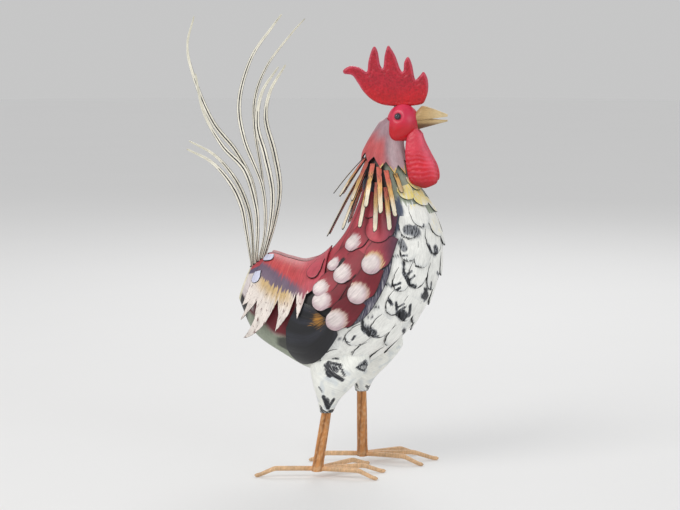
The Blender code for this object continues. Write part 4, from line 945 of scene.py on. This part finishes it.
def makeHackleStrip(rowName, number, rootU, rootLift, angle, length, lean, seed):
    look = hackleLook
    work = Metalwork(f"hackle{rowName}_{number}")
    root = offSkin(rootU, angle, rootLift + sheetThick / 2)
    length = length * (0.88 + 0.12 * chance(seed, 6))
    along, around = skinSlopes(rootU, angle)
    down, out = -along / np.linalg.norm(along), skinNormal(rootU, angle)
    share = np.linspace(0, 1, 26)
    lean = math.radians(lean)
    reach = (down * math.cos(lean) + out * math.sin(lean))[None, :] * (length * share)[:, None]
    path = root + reach - up * (look["droop"] * length * share**2)[:, None]
    tangent = np.gradient(path, axis=0)
    tangent /= np.linalg.norm(tangent, axis=1, keepdims=True)
    side = around - tangent * (tangent @ around)[:, None]
    side /= np.linalg.norm(side, axis=1, keepdims=True)
    face = np.cross(tangent, side)
    face *= np.sign(face @ out)[:, None]
    a = np.linspace(-1, 1, 11)[None, :]
    slope = look["askew"] * (chance(seed, 3) - 0.5)  # strips are cut off a little askew
    ends = np.clip((1 - share[:, None]) * length / 3.5, 0, 1)
    half = look["width"] / 2 * (1 - (1 - look["taper"]) * share[:, None]) * (0.5 + 0.5 * np.sqrt(ends))
    half = half * (1 - 0.05 * np.sin(share[:, None] * 9 + seed) ** 2)
    middle = path[:, None, :] + side[:, None, :] * (a * half)[..., None]
    middle = middle - tangent[:, None, :] * ((a * slope + abs(slope)) * share[:, None] ** 3)[..., None]
    bow = look["bow"] * np.sin(share * math.pi) * (chance(seed, 5) - 0.4)
    middle = middle + face[:, None, :] * bow[:, None, None]
    crowned = look["crown"] * (1 - np.abs(a) ** 1.6) * np.ones_like(half)
    lower = middle + face[:, None, :] * (crowned - 0.6)[..., None]
    upper = middle + face[:, None, :] * (crowned * 0.6 + 0.25)[..., None]
    s = share[:, None] + 0 * a + 0.10 * (chance(seed, 1) - 0.5)
    if rowName == "lower":
        paint = mixPaint(look["salmon"], look["ochre"], soft(s, 0.10, 0.42))
        paint = mixPaint(paint, look["cream"], soft(s, 0.42, 0.74))
    elif rowName == "front":
        paint = mixPaint(look["ochre"], look["cream"], soft(s, 0.3, 1.0) * 0.4) * 0.8
    else:
        change = 0.16 * chance(seed, 12)
        paint = mixPaint(look["salmon"], look["ochre"], soft(s + change, 0.30, 0.62))
        paint = mixPaint(paint, look["cream"], soft(s + change, 0.62, 0.98))
    paint = paint * (0.82 + 0.26 * chance(seed, 8))
    rim = np.minimum((1 - np.abs(a)) * half, (1 - share[:, None]) * length + 0 * a)
    grain = np.stack([a * half, share[:, None] * length + 0 * a, np.full_like(s, seed * 13.7)], -1)
    dark = 0.30 + 0.20 * soft(rim, 1.3, 0.1) - 0.10 * soft(s, 0.3, 0.9)
    work.addPlate(lower, upper, blackBack=0.42, paint=paint, second=look["cream"],
                  blend=0.18 + 0.20 * soft(s, 0.3, 0.8), rim=rim, dark=dark, grain=grain)
    work.weld([hacklePaint], [f"hackle_{rowName}_{number}"], "hackle_paint")


def makeHackle():
    for rowName, rootU, rootLift, napeLength, napeLean, sideLength, sideLean, angles in hackleLook["rows"]:
        number = 0
        for angle in angles:
            share = min(angle, 70) / 70
            length = napeLength + (sideLength - napeLength) * share
            lean = napeLean + (sideLean - napeLean) * share
            for side in (1, -1) if angle else (1,):
                number += 1
                seed = number + 7 * len(rowName) + angle
                makeHackleStrip(rowName, number, rootU, rootLift, side * angle, length, lean, seed)


makeHackle()


def headPoint(direction):
    look = headLook
    push = np.ones(direction.shape[:-1])
    for side in (1, -1):
        lobe = np.array(look["lobe"]) * (1, side, 1)
        lobe = lobe / np.linalg.norm(lobe)
        push = push + look["lobeHeight"] * np.exp(-(1 - direction @ lobe) / 0.09)
    return np.array(look["centre"]) + direction * np.array(look["radii"]) * push[..., None]


def eyePlace(side):
    look = headLook
    x, z = look["eye"]
    (cx, _, cz), (rx, ry, rz) = look["centre"], look["radii"]
    inside = 1 - ((x - cx) / rx) ** 2 - ((z - cz) / rz) ** 2
    return np.array([x, side * (ry * math.sqrt(inside) + look["eyeRadius"] * 0.15), z])


def addBead(work, centre, radii, rings=10, around=16, **given):
    work.addTube(np.array(centre) + ballDirections(rings, around, 0.06) * np.array(radii), **given)


def addRing(work, centre, axis, radius, tube, around=40, sides=12, **given):
    axis = np.array(axis) / np.linalg.norm(axis)
    first = np.cross(axis, (0, 0, 1))
    first = first / np.linalg.norm(first)
    second = np.cross(axis, first)
    turn, roll = roundAbout(around).T, roundAbout(sides)
    out = first * np.cos(turn)[..., None] + second * np.sin(turn)[..., None]
    points = np.array(centre) + out * (radius + tube * np.cos(roll))[..., None]
    points = points + axis * (tube * np.sin(roll))[..., None]
    work.add(points, hoopFaces(around, sides), **given)


def makeHead():
    look = headLook
    work = Metalwork("head")
    direction = ballDirections(64, 96, 0.02)
    rings = headPoint(direction)
    far, wide, deep = look["socket"]
    for side in (1, -1):  # a shallow socket round each eye
        gap = np.linalg.norm(rings - eyePlace(side), axis=-1)
        rings = rings - direction * (deep * np.exp(-((gap - far) / wide) ** 2))[..., None]
    lower = soft(rings[..., 2], 470, 448)
    paint = mixPaint(look["rose"], look["red"], lower)
    # painted highlight: pinker on the top of the head
    paint = mixPaint(paint, look["topHighlight"], 0.35 * soft(rings[..., 2], 476, 483))
    lids = np.zeros(rings.shape[:2])
    for side in (1, -1):  # a dark painted lid round each eye
        lids = np.maximum(lids, soft(np.linalg.norm(rings - eyePlace(side), axis=-1), 5.0, 4.2))
    work.addTube(rings, paint=mixPaint(paint, look["lid"], lids), second=look["red"], blend=0.3 * (1 - lids))
    for side in (1, -1):
        place = eyePlace(side)
        out = (place - np.array(look["centre"])) / np.array(look["radii"]) ** 2
        out = out / np.linalg.norm(out)
        lid = look["lid"]
        addRing(work, place - out * 0.1, out, look["eyeRadius"] + 0.3, 0.6, paint=lid, second=lid)
    for x, y, size in look["beads"]:
        away = (x - look["centre"][0]) / look["radii"][0]
        top = look["centre"][2] + look["radii"][2] * math.sqrt(1 - away**2)
        addBead(work, (x, y, top - 0.2), (size, size, size * 0.9), paint=look["weld"], second=look["weld"])
    work.weld([headPaint], ["head"], "red_paint")


makeHead()


def makeEye(side, hand):
    work = Metalwork("eye" + hand)
    radii = [headLook["eyeRadius"]] * 3
    # painted reflection: blue-grey streaks of sky over the dark eye
    addBead(work, eyePlace(side), radii, 24, 36, paint=headLook["pupil"], second=headLook["skyReflection"], blend=0.3)
    work.weld([eyeGlaze], [f"eye_{hand.lower()}"], "eye_enamel")


for side, hand in bothSides:
    makeEye(side, hand)

# Comb: a pillowed plate cut into points, hammered all over, with a rolled edge
combLook = {
    "red": rgb(178, 26, 48), "low": rgb(192, 14, 28), "deep": rgb(110, 8, 24), "pink": rgb(214, 86, 110),
    "thick": 9.0, "grid": 1.6, "pillow": 4.2, "groove": (0.8, 5.4, 1.5), "lumps": 0.5, "pits": 0.55,
    "outline": [
        (35, 521), (34, 526), (43, 531), (55, 529), (64, 524), (66, 537), (70, 551), (74, 556), (78, 549),
        (81, 533), (85, 529), (87, 545), (91, 557), (96, 552), (101, 543), (107, 527), (111, 525), (112, 536),
        (117, 543), (122, 533), (126, 515), (132, 519), (137, 524), (142, 515), (143, 502), (140, 490),
        (134, 482.5), (112, 480), (88, 481), (72, 487), (60, 498), (52, 510), (45, 519),
    ],
}


def smoothOutline(outline, cuts):
    count = len(outline)
    made = []
    for i in range(count):
        p0, p1, p2, p3 = (np.array(outline[(i + k) % count], float) for k in (-1, 0, 1, 2))
        made += [bendThrough(p0, p1, p2, p3, step / cuts) for step in range(cuts)]
    return np.array(made)


def makeComb():
    look = combLook
    work = Metalwork("comb")
    outline = smoothOutline(look["outline"], 8)
    low, high = outline.min(0), outline.max(0)
    step = look["grid"]
    inside = []
    following = np.roll(outline, -1, axis=0)
    edges, tiny = following - outline, 1e-12
    row = 0
    z = low[1] + step / 2
    while z < high[1]:
        x = low[0] + step / 2 * (1 + row % 2)
        while x < high[0]:
            p = np.array([x, z])
            crosses = ((outline[:, 1] > z) != (following[:, 1] > z))
            at = outline[:, 0] + (z - outline[:, 1]) / (edges[:, 1] + tiny) * edges[:, 0]
            if np.count_nonzero(crosses & (at > x)) % 2:
                t = np.clip(((p - outline) * edges).sum(1) / ((edges**2).sum(1) + tiny), 0, 1)
                gap = np.linalg.norm(p - outline - edges * t[:, None], axis=1).min()
                if gap > step * 0.45:
                    inside.append((x, z, gap))
            x += step
        z += step * 0.86
        row += 1
    flat = [Vector(p) for p in outline] + [Vector(p[:2]) for p in inside]
    around = len(outline)
    made = delaunay_2d_cdt(flat, [(i, (i + 1) % around) for i in range(around)], [], 1, 1e-5)
    points = np.array([p[:] for p in made[0]])
    gap = np.zeros(len(points))
    gap[around:] = [p[2] for p in inside][: len(points) - around]
    faces = [list(face) for face in made[2]]
    half = look["thick"] / 2
    lift = half * (0.16 + 0.84 * np.sqrt(1 - (1 - np.clip(gap / look["pillow"], 0, 1)) ** 2))
    deep, inFromEdge, broad = look["groove"]
    lift = lift - deep * np.exp(-((gap - inFromEdge) / broad) ** 2)
    lumps = np.array([noise.noise(Vector((p[0], p[1], 0)) * 0.30) for p in points])
    pits = np.array([noise.noise(Vector((p[0], p[1], 7)) * 0.62) for p in points])
    beaten = look["lumps"] * np.clip(lumps + 0.3, 0, 1) + look["pits"] * np.clip(pits, 0, 1)
    lift = np.minimum(lift - beaten * soft(gap, 2, 5), half)
    count = len(points)
    front = np.stack([points[:, 0], -lift, points[:, 1]], 1)
    back = np.stack([points[:, 0], lift, points[:, 1]], 1)
    walls = [[i, (i + 1) % around, (i + 1) % around + count, i + count] for i in range(around)]
    both = np.concatenate([front, back])
    gap, pits = np.tile(gap, 2), np.tile(pits, 2)
    low = soft(both[:, 2] - 0.16 * np.abs(both[:, 0] - 105), 512, 482)
    paint = mixPaint(look["red"], look["low"], low)
    # painted shade: darker red in the hammered pits
    paint = mixPaint(paint, look["deep"], 0.5 * np.clip(pits * 2.4, 0, 1) * (1 - 0.5 * low))
    # painted highlight: pink along the upper rolled edge
    paint = mixPaint(paint, look["pink"], 0.6 * soft(gap, 3.6, 0.6) * soft(both[:, 2], 490, 512))
    # painted highlight: pink streaks near the edge
    work.add(both, faces + [[i + count for i in face] for face in faces] + walls, paint=paint,
             second=look["pink"], blend=0.22 * soft(gap, 6, 2))
    work.weld([crimsonPaint], ["comb"], "red_paint", 60)


makeComb()

# Wattles: hammered drops hung under the beak, with level ridges
wattleLook = {
    "red": rgb(200, 24, 42), "deep": rgb(150, 4, 16), "pink": rgb(230, 100, 124),
    "side": 11.5, "splay": 12.5, "ridge": 0.46, "pitch": 5.6, "dents": 0.35,
    # height, x of the back and of the front, half the thickness
    "rows": [(452, 121, 134, 3.0), (437, 116, 138, 4.6), (420, 115, 146, 5.4), (402, 117, 155, 5.8),
             (386, 121, 157, 5.2), (377, 130, 150, 3.0)],
}


def makeWattle(side, hand):
    look = wattleLook
    work = Metalwork("wattle" + hand)
    share = np.linspace(0, 1, 90)[:, None]
    row = curveAt(look["rows"], share[:, 0] * 5)
    top, foot = look["rows"][0][0], look["rows"][-1][0]
    z = np.clip(row[:, :1], foot, top)
    lowered = (top - z) / (top - foot)
    turn = roundAbout(48)
    # it narrows to nothing where it is welded to the head, and its foot is round
    closing = np.sqrt(np.clip(lowered / 0.10, 0.03, 1))
    closing = closing * np.sqrt(1 - np.clip(1 - (1 - lowered) / 0.10, 0, 0.97) ** 2)
    waver = 1.2 * np.sin(turn * 2 + z / 9) + 0.8 * np.sin(turn * 5 - z / 6)
    ridge = look["ridge"] * (0.5 - 0.5 * np.cos(z * 2 * math.pi / look["pitch"] + waver))
    ridge = ridge * soft(lowered, 0.25, 0.7)
    dents = look["dents"] * np.clip(np.sin(turn * 9 + z * 1.1) * np.sin(z * 0.9), 0, 1)
    thick = row[:, 3:4] * closing - (ridge + dents * 0.5) * np.abs(np.sin(turn))
    wide = (row[:, 2:3] - row[:, 1:2]) / 2 * closing - 0.2 * ridge
    x = (row[:, 1:2] + row[:, 2:3]) / 2 + wide * np.cos(turn)
    y = side * (look["side"] + look["splay"] * lowered) + thick * np.sin(turn)
    rings = np.stack([x, y, z + 0 * turn], -1)
    frontness = np.cos(turn) + 0 * share
    paint = mixPaint(look["red"], look["deep"], soft(lowered + 0 * turn, 0.78, 1.0))
    # painted highlight: pink on the front of the upper part
    paint = mixPaint(paint, look["pink"], 0.55 * soft(frontness, 0.2, 0.95) * soft(lowered, 0.9, 0.5))
    # painted highlight: pink on the crests of the ridges and over the top
    paint = mixPaint(paint, look["pink"], 0.30 * soft(ridge, 0.25, 0.0) * soft(lowered, 0.95, 0.75))
    work.addTube(rings, paint=paint, second=look["deep"], blend=0.2)
    work.weld([crimsonPaint], [f"wattle_{hand.lower()}"], "red_paint", 60)


for side, hand in bothSides:
    makeWattle(side, hand)

# Beak: two halves, tan with a cream tip
beakLook = {
    "tan": rgb(184, 152, 104), "cream": rgb(214, 194, 152), "brown": rgb(96, 68, 42),
    "nostril": (137.5, 471.5, 2.0, 1.0),  # x, z, size and depth
    # x, height of the crest, height of the cut, half the width, and the other way round for the lower half
    "upper": [(124, 468, 462.6, 9.0), (130, 475.5, 462.7, 10.6), (136.5, 480.6, 463.2, 10.4),
              (148, 477.6, 464.5, 7.4), (159, 473.4, 465.8, 4.2), (168, 469.9, 466.9, 1.3)],
    "lower": [(124, 462.4, 449, 9.4), (135, 462.8, 451.6, 9.0), (146, 463.7, 454.6, 6.3),
              (158, 463.0, 458.0, 3.5), (168, 462.8, 460.6, 1.1)],
}


def makeBeak(name, node, rows, archUp):
    look = beakLook
    work = Metalwork(name)
    rows = np.array(rows, float)
    row = curveAt(rows, np.linspace(0, len(rows) - 1, 60))
    row[:, 0] = np.clip(row[:, 0], rows[0, 0], rows[-1, 0])
    flat, peak = (row[:, 2], row[:, 1]) if archUp else (row[:, 1], row[:, 2])
    turn = np.linspace(0, math.pi, 33)[None, :]
    arch = np.sin(turn) ** (0.85 if archUp else 0.95)
    z = flat[:, None] + (peak - flat)[:, None] * arch
    y = row[:, 3:4] * np.cos(turn)
    x = row[:, :1] + 0 * turn
    if archUp:
        holeX, holeZ, size, deep = look["nostril"]
        for side in (1, -1):
            gap = np.hypot(x - holeX, (z - holeZ) * 1.5) + 50 * (side * y < 0)
            y = y - side * deep * np.exp(-((gap / size) ** 2))
    under = np.linspace(-1, 1, 9)[None, 1:-1]
    backX, backY = row[:, :1] + 0 * under, row[:, 3:4] * under
    backZ = flat[:, None] + 0 * under
    rings = np.concatenate([np.stack([x, y, z], -1), np.stack([backX, backY, backZ], -1)], axis=1)
    forward = soft(rings[..., 0], 136, 166)
    paint = mixPaint(look["tan"], look["cream"], 0.8 * forward)
    # painted shade: brown on the lower side of the upper half and over most of the lower half, below its tan
    # lip
    low = soft(rings[..., 2], 466, 462) if archUp else soft(rings[..., 2], 461, 456)
    lip = 0.0 if archUp else 0.5 * soft(rings[..., 2], 460.5, 462.0)
    paint = mixPaint(paint, look["brown"], low * (0.35 if archUp else 0.9) * (1 - 0.4 * forward))
    paint = mixPaint(paint, look["tan"], lip)
    work.addTube(rings, paint=paint, second=look["brown"], blend=0.22)
    work.weld([beakPaint], [node], "beak_paint")


makeBeak("beakUpper", "beak_upper", beakLook["upper"], True)
makeBeak("beakLower", "beak_lower", beakLook["lower"], False)

# Tail plumes: narrow strips with a groove down the middle
plumeLook = {
    "cream": rgb(240, 236, 222), "greenGrey": rgb(176, 176, 154), "weld": rgb(60, 58, 56),
    "widths": (3.4, 5.6, 7.2, 5.0, 2.4), "thick": 1.8, "barb": 3.1,
    # y at the base and at the tip, share of the full width, then x and z along the plume
    "plumes": [
        (-4.5, -18, 1.0, [(-86, 274), (-92, 315), (-98, 350), (-112, 380), (-136, 407), (-168, 424)]),
        (4.5, 16, 0.9, [(-85, 274), (-87, 315), (-93, 347), (-109, 382), (-136, 413), (-171, 432)]),
        (-4.5, -10, 1.0, [(-81.5, 275), (-78, 315), (-80, 350), (-94, 396), (-123, 428), (-147, 472),
                          (-157, 521)]),
        (4.5, 12, 0.9, [(-80.5, 275), (-79, 324), (-86, 378), (-108, 420), (-137, 456), (-159, 505),
                        (-171, 553), (-162, 594)]),
        (-4.5, -14, 0.85, [(-77, 276), (-68, 320), (-71, 375), (-94, 436), (-100, 486), (-84, 541),
                           (-57, 580), (-44, 597)]),
        (4.5, 18, 0.65, [(-76, 276), (-68, 331), (-74, 390), (-83, 450), (-82, 492), (-66, 532), (-36, 571),
                         (-18, 591)]),
        (-4.5, -9, 1.05, [(-72.5, 279), (-62, 320), (-58, 367), (-67, 415), (-77, 455), (-71, 496),
                          (-49, 530)]),
        (4.5, 8, 1.05, [(-71.5, 279), (-57, 327), (-50, 372), (-57, 418), (-68, 462), (-62, 498),
                        (-42, 532)]),
    ],
}


def makePlume(number, baseY, tipY, breadth, line):
    look = plumeLook
    work = Metalwork(f"tailPlume{number}")
    share = np.linspace(0, 1, 150)
    place = curveAt(line, share * (len(line) - 1))
    width = breadth * curveAt(look["widths"], share * 4)[:, 0]
    path = np.stack([place[:, 0], baseY + (tipY - baseY) * share, place[:, 1]], 1)
    tangent = np.gradient(path, axis=0)
    across = np.stack([tangent[:, 2], 0 * share, -tangent[:, 0]], 1)
    across /= np.linalg.norm(across, axis=1, keepdims=True)
    across[:3] = (1, 0, 0)
    length = np.concatenate([[0], np.cumsum(np.linalg.norm(np.diff(path, axis=0), axis=1))])
    a = np.linspace(-1, 1, 13)[None, :]
    barbs = 0.5 + 0.5 * np.sin(length * 2 * math.pi / look["barb"] + number)
    half = (width / 2 * (1 - 0.05 * barbs))[:, None]
    closing = np.clip((1 - share) * length[-1] / 2.5, 0.3, 1)[:, None] ** 0.5
    middle = path[:, None, :] + across[:, None, :] * (a * half * closing)[..., None]
    ridge = look["thick"] / 2 * (0.15 + 0.85 * np.abs(np.sin(a * math.pi)) ** 0.8) + 0 * half
    foot = np.array([backHeight(x, y) - 0.6 for x, y in zip(middle[0, :, 0], middle[0, :, 1])])
    middle[0, :, 2] = foot
    middle[..., 0] = np.maximum(middle[..., 0], solidBox[0].x * 1000 - drawingShift[0] + 0.05)
    thick = np.array([0, 1, 0])
    lower, upper = middle - thick * ridge[..., None], middle + thick * ridge[..., None]
    rim = (1 - np.abs(a)) * half
    groove = soft(np.abs(a), 0.30, 0.12) * soft(share[:, None], 0.86, 0.62) + 0 * half
    edges = soft(np.abs(a), 0.74, 0.96) * soft(share[:, None], 0.98, 0.7)
    hatch = 0.10 * barbs[:, None] * soft(np.abs(a), 0.3, 0.9)
    along = share[:, None] + 0 * a
    weathered = 0.35 * soft(along, 0.62, 1.0) + 0.25 * soft(along, 0.2, 0.0)
    paint = mixPaint(look["cream"], look["greenGrey"], weathered)
    grain = np.stack([a * half, length[:, None] + 0 * a, np.full(rim.shape, number * 9.1)], -1)
    dark = np.maximum(np.maximum(1.1 * groove, 0.85 * edges), hatch)
    work.addPlate(lower, upper, blackBack=False, paint=paint, second=look["greenGrey"], blend=0.3 + 0 * rim,
                  rim=rim + 0.3, dark=dark, grain=grain)
    weld = look["weld"]
    addBead(work, (*middle[0, 6, :2], foot.mean() + 0.4), (2.6, 1.9, 1.2), paint=weld, second=weld)
    work.weld([plumePaint], [f"tail_plume_{number}"], "plume_paint")


for number, (baseY, tipY, breadth, line) in enumerate(plumeLook["plumes"], 1):
    makePlume(number, baseY, tipY, breadth, line)

# Legs, thighs and toes
legLook = {
    "bronze": rgb(196, 132, 74), "sand": rgb(216, 176, 134), "brown": rgb(118, 74, 40), "radius": 6.3,
    "footRadius": 8.2, "rods": 4, "rodDepth": 1.0, "twist": 50, "rope": 9.0,
    "toeRadius": 3.3, "toeStart": 9.0, "toeHeight": 11.0,
    "white": rgb(238, 239, 233), "cool": rgb(196, 204, 210),
    "Right": {"ankle": (4, -38), "top": (16, -40, 86), "toes": {"outer": (-9, 81), "middle": (20, 92),
                                                             "inner": (51, 97), "back": (188, 82)}},
    "Left": {"ankle": (54, 54), "top": (54, 42, 99), "toes": {"outer": (33, 87), "middle": (10, 103),
                                                            "inner": (-14, 86), "back": (187, 72)}},
    # height over the leg's top, shift forward, shift to the middle, radii
    "thigh": [(0.4, 0, 0, 8.4, 7.8), (18, 3, -1, 15, 12.5), (36, 9, -1, 26, 18), (56, 15, 3, 36, 21),
              (78, 22, 11, 40, 19)],
}


def makeLeg(hand):
    look = legLook
    leg = look[hand]
    work = Metalwork("leg" + hand)
    ax, ay = leg["ankle"]
    tx, ty, tz = leg["top"]
    footTop = look["toeHeight"] + look["toeRadius"]
    footLow = look["toeHeight"] - look["toeRadius"]
    z = np.concatenate([np.linspace(footLow, footTop + 8, 26), np.linspace(footTop + 9, tz, 70)])
    flare = np.interp(z, [footLow, footTop - 1, footTop + 3, footTop + 8], [0.5, 0.6, 0.3, 0.0])[:, None]
    share = ((z - look["toeHeight"]) / (tz - look["toeHeight"]))[:, None]
    turn = roundAbout(64)
    lobes = np.abs(np.cos(look["rods"] * turn / 2)) ** 0.55
    radius = look["radius"] + 0.7 - look["rodDepth"] * (1 - flare * 0.7) * (1 - lobes) * 1.4
    radius = radius + (look["footRadius"] - look["radius"] - 0.7) * flare
    ripple = lumpsAt(np.stack(np.broadcast_arrays(np.cos(turn), np.sin(turn), z[:, None] * 0.12), -1), 1.8)
    radius = radius - 0.35 * np.abs(ripple) * (0.3 + flare)
    turned = turn + math.radians(look["twist"]) * share
    x = ax + (tx - ax) * share + radius * np.cos(turned)
    y = ay + (ty - ay) * share + radius * np.sin(turned)
    rings = np.stack([x, y, z[:, None] + 0 * turn], -1)
    # painted shade: brown in the grooves between the twisted rods
    paint = mixPaint(look["bronze"], look["brown"], 0.75 * (1 - lobes) ** 0.8 + 0 * share)
    paint = mixPaint(paint, look["sand"], 0.4 * soft(ripple, 0.0, 0.5) + 0.3 * flare)
    work.addTube(rings, paint=paint, second=look["brown"], blend=0.28)
    work.weld([legPaint], [f"leg_{hand.lower()}"], "leg_paint", 60)


def makeToe(hand, toe, heading, length):
    look = legLook
    work = Metalwork("toe" + hand + toe.capitalize())
    angle = math.radians(heading)
    out = np.array([math.cos(angle), math.sin(angle), 0])
    across = np.array([-out[1], out[0], 0])
    flat = math.cos(math.pi / 8)
    root = look["toeStart"] - 4.5  # inside the leg, to which it is welded
    start = np.array([*look[hand]["ankle"], 0.0]) + out * root
    reach = length - root
    slim = 0.82
    high, end = look["toeHeight"], look["toeRadius"] * slim * flat
    # share of the way along, height and share of the full radius
    places, heights, sizes = np.array([
        (0.0, high, 1.0), (0.16, high + 0.3, 1.0), (0.64, high + 0.5, 1.0),
        (0.85, end + 2.4, 0.9), (0.93, end, slim), (1.0, end, slim),
    ]).T
    places[1:-1] = 1 - (1 - places[1:-1]) * (length - look["toeStart"]) / reach
    share = np.linspace(0, 1, 110)
    height, size = np.interp(share, places, heights), np.interp(share, places, sizes)
    kernel = np.ones(11) / 11
    height = np.convolve(np.pad(height, 5, mode="edge"), kernel, mode="valid")  # rounds the bends
    size = size * np.sqrt(np.clip((1 - share) * reach / 3.0, 0.05, 1))
    turn = roundAbout(24)
    rope = 0.5 + 0.5 * np.cos(2 * turn + share[:, None] * reach * 2 * math.pi / look["rope"])
    radius = look["toeRadius"] * size[:, None] * (0.985 - 0.025 * rope)
    middle = start + out * (reach * share)[:, None] + up * height[:, None]
    rings = middle[:, None, :] + across * (radius * np.cos(turn))[..., None]
    rings = rings + up * (radius * np.sin(turn))[..., None]
    rings[..., 2] = np.maximum(rings[..., 2], 0.0)
    # painted shade: faint brown in the grooves of the rope twist
    paint = mixPaint(look["sand"], look["brown"], 0.14 * rope**2)
    paint = mixPaint(paint, look["bronze"], 0.5 * soft(share, 0.3, 0.0)[:, None] + 0 * turn)
    work.addTube(rings, paint=paint, second=look["bronze"], blend=0.3)
    work.weld([legPaint], [f"toe_{hand.lower()}_{toe}"], "leg_paint", 60)


def makeThigh(side, hand):
    look = legLook
    x0, y0, z0 = look[hand]["top"]
    work = Metalwork("thigh" + hand)
    rows = curveAt(look["thigh"], np.linspace(0, 4, 70))
    turn = roundAbout(90)
    rise, forward, inward, rx, ry = (rows[:, k:k + 1] for k in range(5))
    sink = 1 - 0.16 * soft(rise, 62, 78)  # the cone's top goes in under the shell
    x = x0 + forward + rx * sink * np.cos(turn)
    y = y0 - side * inward + ry * sink * np.sin(turn)
    rings = np.stack([x, y, z0 + rise + 0 * turn], -1)
    wander = lumpsAt(rings, 0.11)
    foot = 0.62 * soft(rise + 18 * wander, 14, 3)
    spot = thighStrokes(rings - [x0 - 16, 0, z0 - 86], side, y0)
    dark = np.maximum(foot, 0.95 * spot)
    paint = mixPaint(look["white"], look["cool"], 0.6 * soft(wander, 0.0, 0.5) + 0 * rise)
    paint = mixPaint(paint, bodyLook["spot"], 0.6 * soft(spot, 0.2, 0.6))
    grain = np.stack([turn * rx, rise + 0 * turn, 0 * turn + 5 * side + 0 * rise], -1)
    work.addTube(rings, paint=paint, second=look["cool"], blend=0.25, dark=dark, grain=grain)
    work.weld([whitePaint], [f"thigh_{hand.lower()}"], "white_paint")


for side, hand in bothSides:
    makeThigh(side, hand)
    makeLeg(hand)
    for toe, (heading, length) in legLook[hand]["toes"].items():
        makeToe(hand, toe, heading, length)

# Floor, light and camera
stageLook = {
    "floor": (0.62, 0.62, 0.62), "world": (0.86, 0.86, 0.86), "worldLight": 0.66, "floorGlow": 0.215,
    "camera": (0.3032, -2.5996, 0.631), "target": (0.0314, -0.0138, 0.286), "lens": 106.8,
    # place, size in metres, power and colour of each lamp
    "lamps": [((-1.3, -1.7, 2.3), 1.4, 34, (1.0, 0.98, 0.95)), ((1.8, -1.6, 1.1), 1.2, 9, (0.95, 0.98, 1.0)),
              ((0.2, 1.9, 1.9), 1.4, 18, (1.0, 1.0, 1.0))],
}


def makeStage():
    look = stageLook
    mesh = bpy.data.meshes.new("floor")
    ring = [(9 * math.cos(w), 9 * math.sin(w), 0) for w in np.linspace(0, 2 * math.pi, 65)[:-1]]
    mesh.from_pydata(ring, [], [tuple(range(64))])
    floor = bpy.data.objects.new("floor", mesh)
    bpy.context.scene.collection.objects.link(floor)
    material = bpy.data.materials.new("palePlaster")
    material.use_nodes = True
    tree = material.node_tree
    shader = tree.nodes["Principled BSDF"]
    cloud = mottle(tree, tree.nodes.new("ShaderNodeTexCoord").outputs["Object"], 3.0)
    darker = tuple(c * 0.97 for c in look["floor"])
    wire(tree, shader.inputs["Base Color"], overlay(tree, cloud, look["floor"], darker))
    shader.inputs["Roughness"].default_value = 0.8
    shader.inputs["Emission Color"].default_value = (*look["world"], 1)
    shader.inputs["Emission Strength"].default_value = look["floorGlow"]
    mesh.materials.append(material)
    world = bpy.data.worlds.new("softRoom")
    bpy.context.scene.world = world
    world.use_nodes = True
    world.node_tree.nodes["Background"].inputs["Color"].default_value = (*look["world"], 1)
    world.node_tree.nodes["Background"].inputs["Strength"].default_value = look["worldLight"]
    aim = Vector((0, -0.014, 0.3))
    for number, (place, size, power, colour) in enumerate(look["lamps"]):
        lamp = bpy.data.lights.new(f"softLamp{number}", "AREA")
        lamp.size = size
        lamp.energy = power
        lamp.color = colour
        holder = bpy.data.objects.new(lamp.name, lamp)
        holder.location = place
        holder.rotation_euler = (aim - Vector(place)).to_track_quat("-Z", "Y").to_euler()
        bpy.context.scene.collection.objects.link(holder)
    camera = bpy.data.objects.new("camera", bpy.data.cameras.new("camera"))
    camera.data.lens = look["lens"]
    camera.data.sensor_width = 36
    camera.location = look["camera"]
    sight = Vector(look["target"]) - Vector(look["camera"])
    camera.rotation_euler = sight.to_track_quat("-Z", "Y").to_euler()
    bpy.context.scene.collection.objects.link(camera)
    bpy.context.scene.camera = camera
    bpy.context.scene.view_settings.view_transform = "Standard"
    print("floor, lamps and camera placed")


makeStage()
